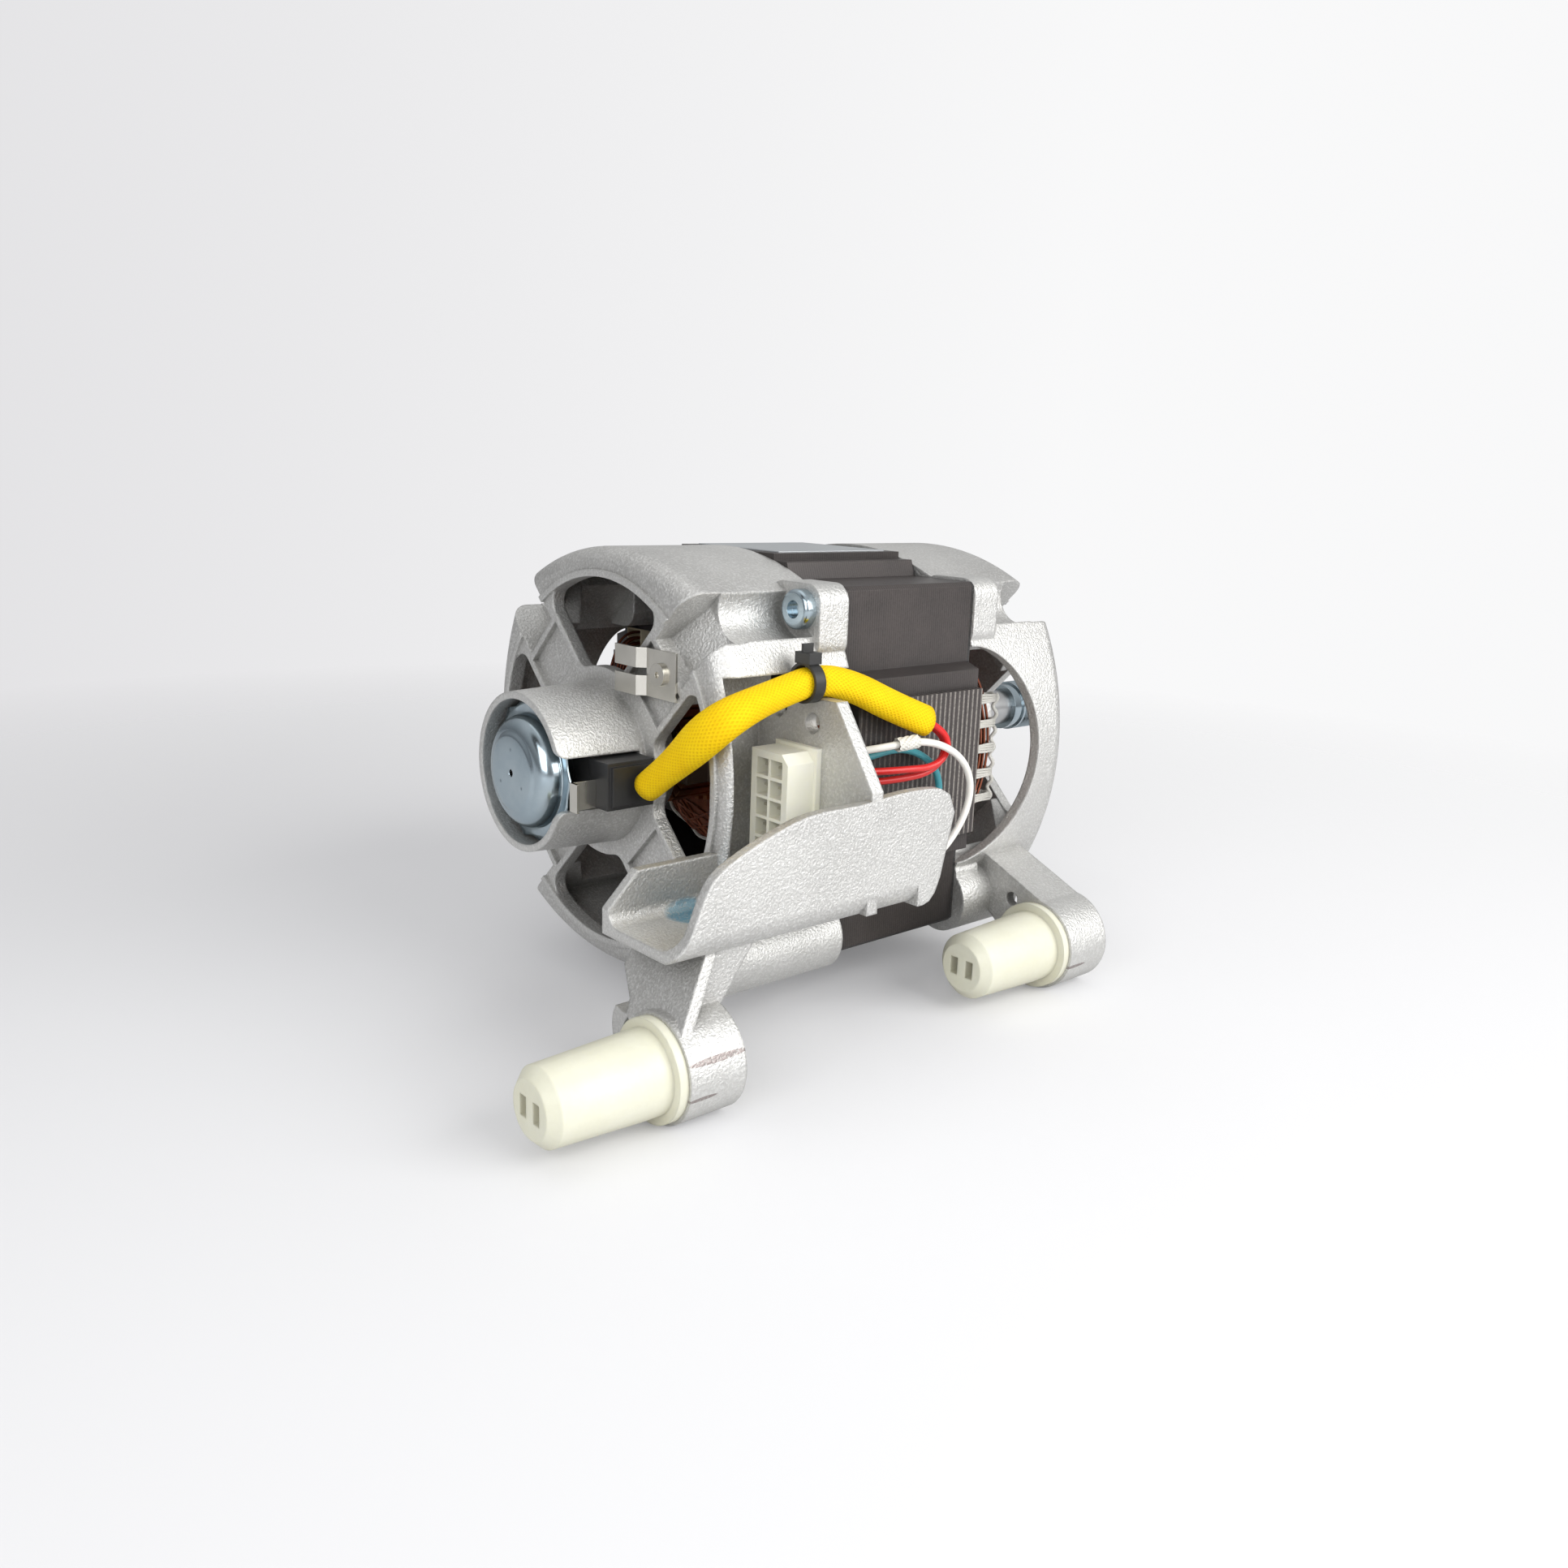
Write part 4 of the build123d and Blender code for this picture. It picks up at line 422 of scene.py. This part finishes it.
# The leads that can be seen, and what each replaces
leadRadius = 0.0012
leads = {
    "lead_red": {
        "slot": "red_lead",
        "routes": [[(15.5, -74.7, 21.8), (28.5, -76.4, 16.6), (34.2, -76.6, 8.5), (27.5, -76.4, 1.5),
                    (13.0, -75.0, 0.5), (0.0, -71.6, 0.3), (-11.0, -65.6, 0.6)],
                   [(15.5, -77.4, 21.8), (27.5, -79.2, 17.0), (31.7, -79.6, 9.5), (25.5, -79.6, 4.0),
                    (12.0, -79.0, 4.6), (0.0, -75.4, 4.6), (-11.0, -69.4, 4.9)]]},
    "lead_white": {
        "slot": "white_lead",
        "routes": [[(-11.0, -68.0, 9.6), (2.0, -79.0, 13.0), (17.0, -82.6, 14.6), (32.4, -83.2, 8.5),
                    (40.2, -83.0, -2.0), (37.0, -83.5, -14.0), (23.0, -85.0, -25.0), (6.0, -84.0, -29.6),
                    (-3.5, -74.0, -24.0), (-11.0, -67.6, -15.0)]]},
    "lead_blue": {
        "slot": "blue_lead",
        "routes": [[(-11.0, -61.2, 5.2), (-3.0, -72.4, 8.0), (15.0, -73.0, 10.8), (29.0, -73.0, 5.5),
                    (35.5, -73.2, -3.0), (32.0, -75.0, -14.0), (20.0, -78.2, -24.0), (5.0, -76.5, -29.6),
                    (-4.0, -68.0, -24.0), (-11.0, -61.3, -15.0)]]},
}
for nodeName, lead in leads.items():
    for number, route in enumerate(lead["routes"]):
        leadName = nodeName + "_" + str(number + 1)
        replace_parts(newPiece(leadName, nurbs(nodeName, mm(route), leadRadius), lead["slot"]), nodeName)

# The white woven sleeve, on the white lead between its second point and its third
cuff = {
    "from": 0.0044, "length": 0.0076, "steps": 30, "around": 48, "radius": 0.0021,
    "ripple": 0.0002, "ripplesAround": 9, "rippleTwist": 20}


def cuffRadius(share, angle):
    wave = math.sin(cuff["ripplesAround"] * angle + cuff["rippleTwist"] * share)
    return cuff["radius"] + cuff["ripple"] * wave


start, end = (Vector(point) for point in mm(leads["lead_white"]["routes"][0][1:3]))
along = (end - start).normalized()
cuffLine = [start + along * (cuff["from"] + cuff["length"] * step / cuff["steps"])
            for step in range(cuff["steps"] + 1)]
cuffMesh = tube("woven_sleeve_braid", cuffLine, cuffRadius, cuff["around"])
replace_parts(newPiece("woven_sleeve_braid", cuffMesh, "white_cord"), "woven_sleeve")
print("stage: sleeves and leads")

# The pressed cap in the rear cup: a flat top, a round shoulder and a rim cut into petals.
# Its profile is the place along the shaft and the radius, in millimetres
cap = {
    "segments": 240, "petals": 14, "scallop": 1.5, "sheet": 0.0007, "rim": (-254.2, 23.2),
    "profile": [(-261.7, 1.2), (-261.7, 1.35), (-261.7, 6.0), (-261.7, 11.3), (-261.5, 12.2),
                (-261.0, 12.8), (-260.9, 13.4), (-260.6, 14.6), (-259.8, 15.9), (-258.7, 16.8),
                (-257.2, 17.4), (-255.4, 17.6), (-254.3, 17.8), (-254.0, 18.3), (-253.9, 19.0),
                (-253.9, 21.0)]}


def pressedCap(name):
    mesh = bpy.data.meshes.new(name)
    shell = bmesh.new()
    rows = []
    for x, r in cap["profile"] + [cap["rim"]]:
        row = []
        for step in range(cap["segments"]):
            angle = math.tau * step / cap["segments"]
            between = (step * cap["petals"] / cap["segments"]) % 1
            cut = cap["scallop"] * math.sin(math.pi * between) if (x, r) == cap["rim"] else 0
            point = Vector((x, (r - cut) * math.cos(angle), (r - cut) * math.sin(angle)))
            row.append(shell.verts.new(point * 0.001))
        rows.append(row)
    for first, second in zip(rows, rows[1:]):
        for step in range(cap["segments"]):
            after = (step + 1) % cap["segments"]
            shell.faces.new((first[step], second[step], second[after], first[after]))
    shell.normal_update()
    shell.to_mesh(mesh)
    shell.free()
    return mesh


capPiece = newPiece("sensor_cap_pressed", pressedCap("sensor_cap_pressed"), "zinc_steel")
sheet = capPiece.modifiers.new("sheet", "SOLIDIFY")
sheet.thickness = cap["sheet"]
sheet.offset = -1
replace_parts(capPiece, "sensor_cap")
print("stage: cap")

# The brush springs: wound coils that run from the brush to the wall
spring = {"curls": 5, "wire": 0.00025, "travel": 0.005, "clear": 0.0002, "steps": 24, "around": 10}
for side, name in ((-1, "near"), (1, "far")):
    low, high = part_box("brush_spring_" + name)
    axisX, axisZ = (low.x + high.x) / 2, (low.z + high.z) / 2
    radius = (high.x - low.x) / 2 - spring["wire"]
    atBrush, atWall = (high.y, low.y) if side < 0 else (low.y, high.y)
    line = []
    for step in range(spring["curls"] * spring["steps"] + 1):
        share = step / (spring["curls"] * spring["steps"])
        turn = math.tau * spring["curls"] * share
        y = atBrush + side * spring["wire"] + (atWall - atBrush - 2 * side * spring["wire"]) * share
        line.append(Vector((axisX + radius * math.cos(turn), y, axisZ + radius * math.sin(turn))))
    coilName = "brush_spring_coil_" + name
    coilMesh = tube(coilName, line, lambda share, angle: spring["wire"], spring["around"])
    coil = newPiece(coilName, coilMesh, slotOf["brush_spring_" + name])
    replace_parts(coil, "brush_spring_" + name)
    length = abs(atWall - atBrush)
    (length - spring["travel"] - spring["clear"]) / length
    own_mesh(coil)
    print("stage: spring", name, round(length, 4), "m")

# Lacing of the field coils: bands of cord round each bundle, and in front one wavy cord along its edge
lacing = {
    "bands": 5, "pitch": 0.0092, "turns": 4, "turnPitch": 0.0008, "cord": 0.00046, "sideSteps": 6,
    "sway": 0.0002, "swayTurn": 8, "inner": 0.0521, "outer": 0.0560, "around": 8,
    "front": (stackFront + 0.0011, stackFront + 0.0225), "rear": (stackRear - 0.0008, stackRear - 0.0150)}
edgeCord = {
    "radius": 0.0007, "steps": 96, "waves": 2.6, "short": 0.35, "swing": 0.0006, "inOut": 0.0004,
    "proud": 0.0006, "inset": 0.0008}


def bandLine(end, side, z, phase):
    # one closed turn round the bundle, as a line that ends where it starts
    low, high = lacing[end]
    inner, outer = lacing["inner"], lacing["outer"]
    corners = [(low, inner), (high, inner), (high, outer), (low, outer)]
    line = []
    for (x, y), (nextX, nextY) in zip(corners, corners[1:] + corners[:1]):
        for step in range(lacing["sideSteps"]):
            share = step / lacing["sideSteps"]
            line.append(Vector((x + (nextX - x) * share, side * (y + (nextY - y) * share),
                                z + lacing["sway"] * math.sin(lacing["swayTurn"] * share + phase))))
    return line + line[:2]


def edgeLine(side):
    reach = lacing["pitch"] * (lacing["bands"] / 2 - edgeCord["short"])
    x, y = lacing["front"][1] + edgeCord["proud"], lacing["outer"] - edgeCord["inset"]
    line = []
    for step in range(edgeCord["steps"] + 1):
        share = step / edgeCord["steps"]
        swing = math.sin(math.pi * lacing["bands"] * edgeCord["waves"] * share)
        line.append(Vector((x + edgeCord["inOut"] * swing, side * (y + edgeCord["swing"] * swing),
                            reach * (2 * share - 1))))
    return line


def bandTurns(end, side):
    turns = []
    for band in range(lacing["bands"]):
        centre = lacing["pitch"] * (band - (lacing["bands"] - 1) / 2)
        for turn in range(lacing["turns"]):
            z = centre + (turn - (lacing["turns"] - 1) / 2) * lacing["turnPitch"]
            line = bandLine(end, side, z, turn + 2 * band)
            turns.append(tube("turn", line, lambda share, angle: lacing["cord"], lacing["around"]))
    return turns


for side, name in ((-1, "near"), (1, "far")):
    edge = tube("edge", edgeLine(side), lambda share, angle: edgeCord["radius"], lacing["around"])
    frontMesh = merged("lacing_" + name, bandTurns("front", side) + [edge])
    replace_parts(newPiece("lacing_" + name, frontMesh, "white_cord"), "coil_lacing")
for side, name in ((-1, "near"), (1, "far")):
    newPiece("lacing_rear_" + name, merged("lacing_rear_" + name, bandTurns("rear", side)), "white_cord")

# Strands on the armature's end turns, over the plain drums, and a cord round each.
# A profile is the depth from the stack's face and the drum's radius there
endTurns = {
    "slots": 12, "wires": 4, "span": 2.1, "wire": 0.00048, "proud": 0.00035, "steps": 24,
    "firstReach": 0.55, "moreReach": 0.15, "wireTurn": 0.07, "least": 0.0002, "arch": 0.7, "around": 6,
    "ends": (("front", stackFront, 1, ((0.0, 0.0340), (0.004, 0.0340), (0.018, 0.0300), (0.022, 0.0228))),
             ("rear", stackRear, -1, ((0.0, 0.0340), (0.004, 0.0340), (0.0075, 0.0228))))}
drumCord = {"depth": 0.55, "proud": 0.0011, "sway": 0.0010, "waves": 12, "radius": 0.0006, "steps": 144,
            "around": 8}


def drumRadius(profile, depth):
    for (x0, r0), (x1, r1) in zip(profile, profile[1:]):
        if depth <= x1:
            return r0 + (r1 - r0) * (depth - x0) / (x1 - x0)
    return profile[-1][1]


def strandLine(start, sign, profile, slot, wire):
    # out of one slot, over the end turns and back into another
    reach = profile[-1][0] * (endTurns["firstReach"] + endTurns["moreReach"] * wire)
    line = []
    for step in range(endTurns["steps"] + 1):
        share = step / endTurns["steps"]
        depth = max(endTurns["least"], reach * math.sin(math.pi * share) ** endTurns["arch"])
        angle = math.tau * slot / endTurns["slots"] + endTurns["wireTurn"] * wire + endTurns["span"] * share
        radius = drumRadius(profile, depth) + endTurns["proud"]
        line.append(Vector((start + sign * depth, radius * math.cos(angle), radius * math.sin(angle))))
    return line


def drumCordLine(start, sign, profile):
    depth = profile[-1][0] * drumCord["depth"]
    radius = drumRadius(profile, depth) + drumCord["proud"]
    line = []
    for step in range(drumCord["steps"] + 1):
        angle = math.tau * step / drumCord["steps"]
        x = start + sign * (depth + drumCord["sway"] * math.sin(drumCord["waves"] * angle))
        line.append(Vector((x, radius * math.cos(angle), radius * math.sin(angle))))
    return line


for name, start, sign, profile in endTurns["ends"]:
    strands = []
    for slot in range(endTurns["slots"]):
        for wire in range(endTurns["wires"]):
            line = strandLine(start, sign, profile, slot, wire)
            strands.append(tube("strand", line, lambda share, angle: endTurns["wire"], endTurns["around"]))
    newPiece("armature_strands_" + name, merged("armature_strands_" + name, strands), "copper_wire", "rotor")
    cordName = "armature_cord_" + name
    cordMesh = tube(cordName, drumCordLine(start, sign, profile), lambda share, angle: drumCord["radius"],
                    drumCord["around"])
    newPiece(cordName, cordMesh, "white_cord", "rotor")
print("stage: lacing and strands")

# The floor: pale paper that fades into the backdrop. For the camera alone it glows, brighter to the right
# than to the left: painted light
middle = (-0.16, 0.0, 0.0)  # the motor's middle, which the lights face
toTheRight = (0.748, -0.663, 0.0)  # level, to the camera's right
ground = {
    "half": 6.0, "paper": (0.69, 0.69, 0.70), "rough": 0.8, "gloss": 0.2, "paintedGlowRange": (-0.42, 0.05),
    "paintedGlowLeft": (0.075, 0.075, 0.08), "paintedGlowRight": (0.205, 0.205, 0.208), "reach": 0.75, "fade": 0.55}

floorMesh = bpy.data.meshes.new("floor")
half = ground["half"]
floorCorners = [(-half, -half, floorZ), (half, -half, floorZ), (half, half, floorZ), (-half, half, floorZ)]
floorMesh.from_pydata(floorCorners, [], [(0, 1, 2, 3)])
floor = bpy.data.objects.new("floor", floorMesh)
bpy.context.collection.objects.link(floor)
floorLook = bpy.data.materials.new("floor")
floorLook.use_nodes = True
floorTree = floorLook.node_tree
forCamera = Shade(floorTree).other("LightPath", "Is Camera Ray")
floorPlace = Shade(floorTree).other("TexCoord", "Object")
across = floorPlace.vector("DOT_PRODUCT", toTheRight, 1)
# Painted light: a glow that only the camera sees, weaker to the left and stronger to the right
paintedGlow = mixed(ramp(across, *ground["paintedGlowRange"]), ground["paintedGlowLeft"], ground["paintedGlowRight"])
faded = 1 - near(floorPlace, (middle[0], middle[1], floorZ), ground["reach"], ground["fade"])
paper = {
    "Base Color": ground["paper"], "Roughness": ground["rough"], "Specular IOR Level": ground["gloss"],
    "Emission Strength": 1.0, "Emission Color": mixed(forCamera, (0, 0, 0), paintedGlow),
    "Alpha": 1 - forCamera * faded}
for place, value in paper.items():
    feed(floorTree.nodes["Principled BSDF"].inputs[place], value)
floorMesh.materials.append(floorLook)

# The camera sees a pale wall, painted darker to the left as shade; the metal sees a room that is light
# above, with a dark doorway
room = {
    "low": (0.13, 0.132, 0.138), "high": (0.62, 0.62, 0.62), "heights": (-0.1, 0.75),
    "doorway": (0.03, 0.026, 0.026), "doorwayAt": (-0.75, -0.10, 0.65), "doorwayReach": 0.42,
    "doorwaySoft": 0.16, "wallLeft": (0.77, 0.765, 0.78), "wallRight": (0.945, 0.945, 0.95),
    "wallRange": (-0.55, 0.20)}
world = bpy.data.worlds.new("world")
bpy.context.scene.world = world
world.use_nodes = True
sky = Shade(world.node_tree).other("TexCoord", "Generated")
doorway = near(sky, room["doorwayAt"], room["doorwayReach"], room["doorwaySoft"])
aroundIt = mixed(ramp(sky.part("Z"), *room["heights"]), room["low"], room["high"])
aroundIt = mixed(doorway, aroundIt, room["doorway"])
# Painted shade: the wall behind grows darker towards the left
across = sky.vector("DOT_PRODUCT", toTheRight, 1)
backWall = mixed(ramp(across, *room["wallRange"]), room["wallLeft"], room["wallRight"])
forCamera = Shade(world.node_tree).other("LightPath", "Is Camera Ray")
feed(world.node_tree.nodes["Background"].inputs["Color"], mixed(forCamera, aroundIt, backWall))

# Soft studio lights: size in metres, power in watts
lights = {
    "key": {"place": (0.25, -1.25, 0.6), "size": (1.3, 1.0), "power": 18.0, "color": (1.0, 0.995, 0.98)},
    "fill": {"place": (-1.0, -0.5, 0.4), "size": (0.7, 0.7), "power": 5.0, "color": (0.98, 0.99, 1.0)},
    "top": {"place": (-0.15, 0.1, 1.2), "size": (0.9, 0.9), "power": 1.2, "color": (1.0, 1.0, 1.0)}}
for name, spec in lights.items():
    light = bpy.data.lights.new(name, "AREA")
    light.shape = "RECTANGLE"
    light.size, light.size_y = spec["size"]
    light.energy = spec["power"]
    light.color = spec["color"]
    lamp = bpy.data.objects.new(name, light)
    lamp.location = spec["place"]
    lamp.rotation_euler = (Vector(middle) - Vector(spec["place"])).to_track_quat("-Z", "Y").to_euler()
    bpy.context.collection.objects.link(lamp)

# The camera, in degrees and metres
view = {"place": (-0.458375, -0.351104, 0.094105), "azimuth": -41.531, "elevation": 13.515, "roll": 2.087,
        "lens": 29.47, "sensor": 36.0, "nearest": 0.01}
azimuth, elevation, roll = (math.radians(view[key]) for key in ("azimuth", "elevation", "roll"))
level = math.cos(elevation)
ahead = Vector((-math.sin(azimuth) * level, math.cos(azimuth) * level, -math.sin(elevation)))
right = ahead.cross(Vector((0, 0, 1))).normalized()
up = right.cross(ahead).normalized()
tiltedRight = right * math.cos(roll) + up * math.sin(roll)
tiltedUp = up * math.cos(roll) - right * math.sin(roll)
camera = bpy.data.cameras.new("camera")
camera.lens = view["lens"]
camera.sensor_width = view["sensor"]
camera.clip_start = view["nearest"]
cameraObj = bpy.data.objects.new("camera", camera)
bpy.context.collection.objects.link(cameraObj)
turned = Matrix((tiltedRight, tiltedUp, -ahead)).transposed().to_4x4()
cameraObj.matrix_world = Matrix.Translation(view["place"]) @ turned
bpy.context.scene.camera = cameraObj
bpy.context.scene.view_settings.view_transform = "Standard"
print("stage: floor, lights and camera")
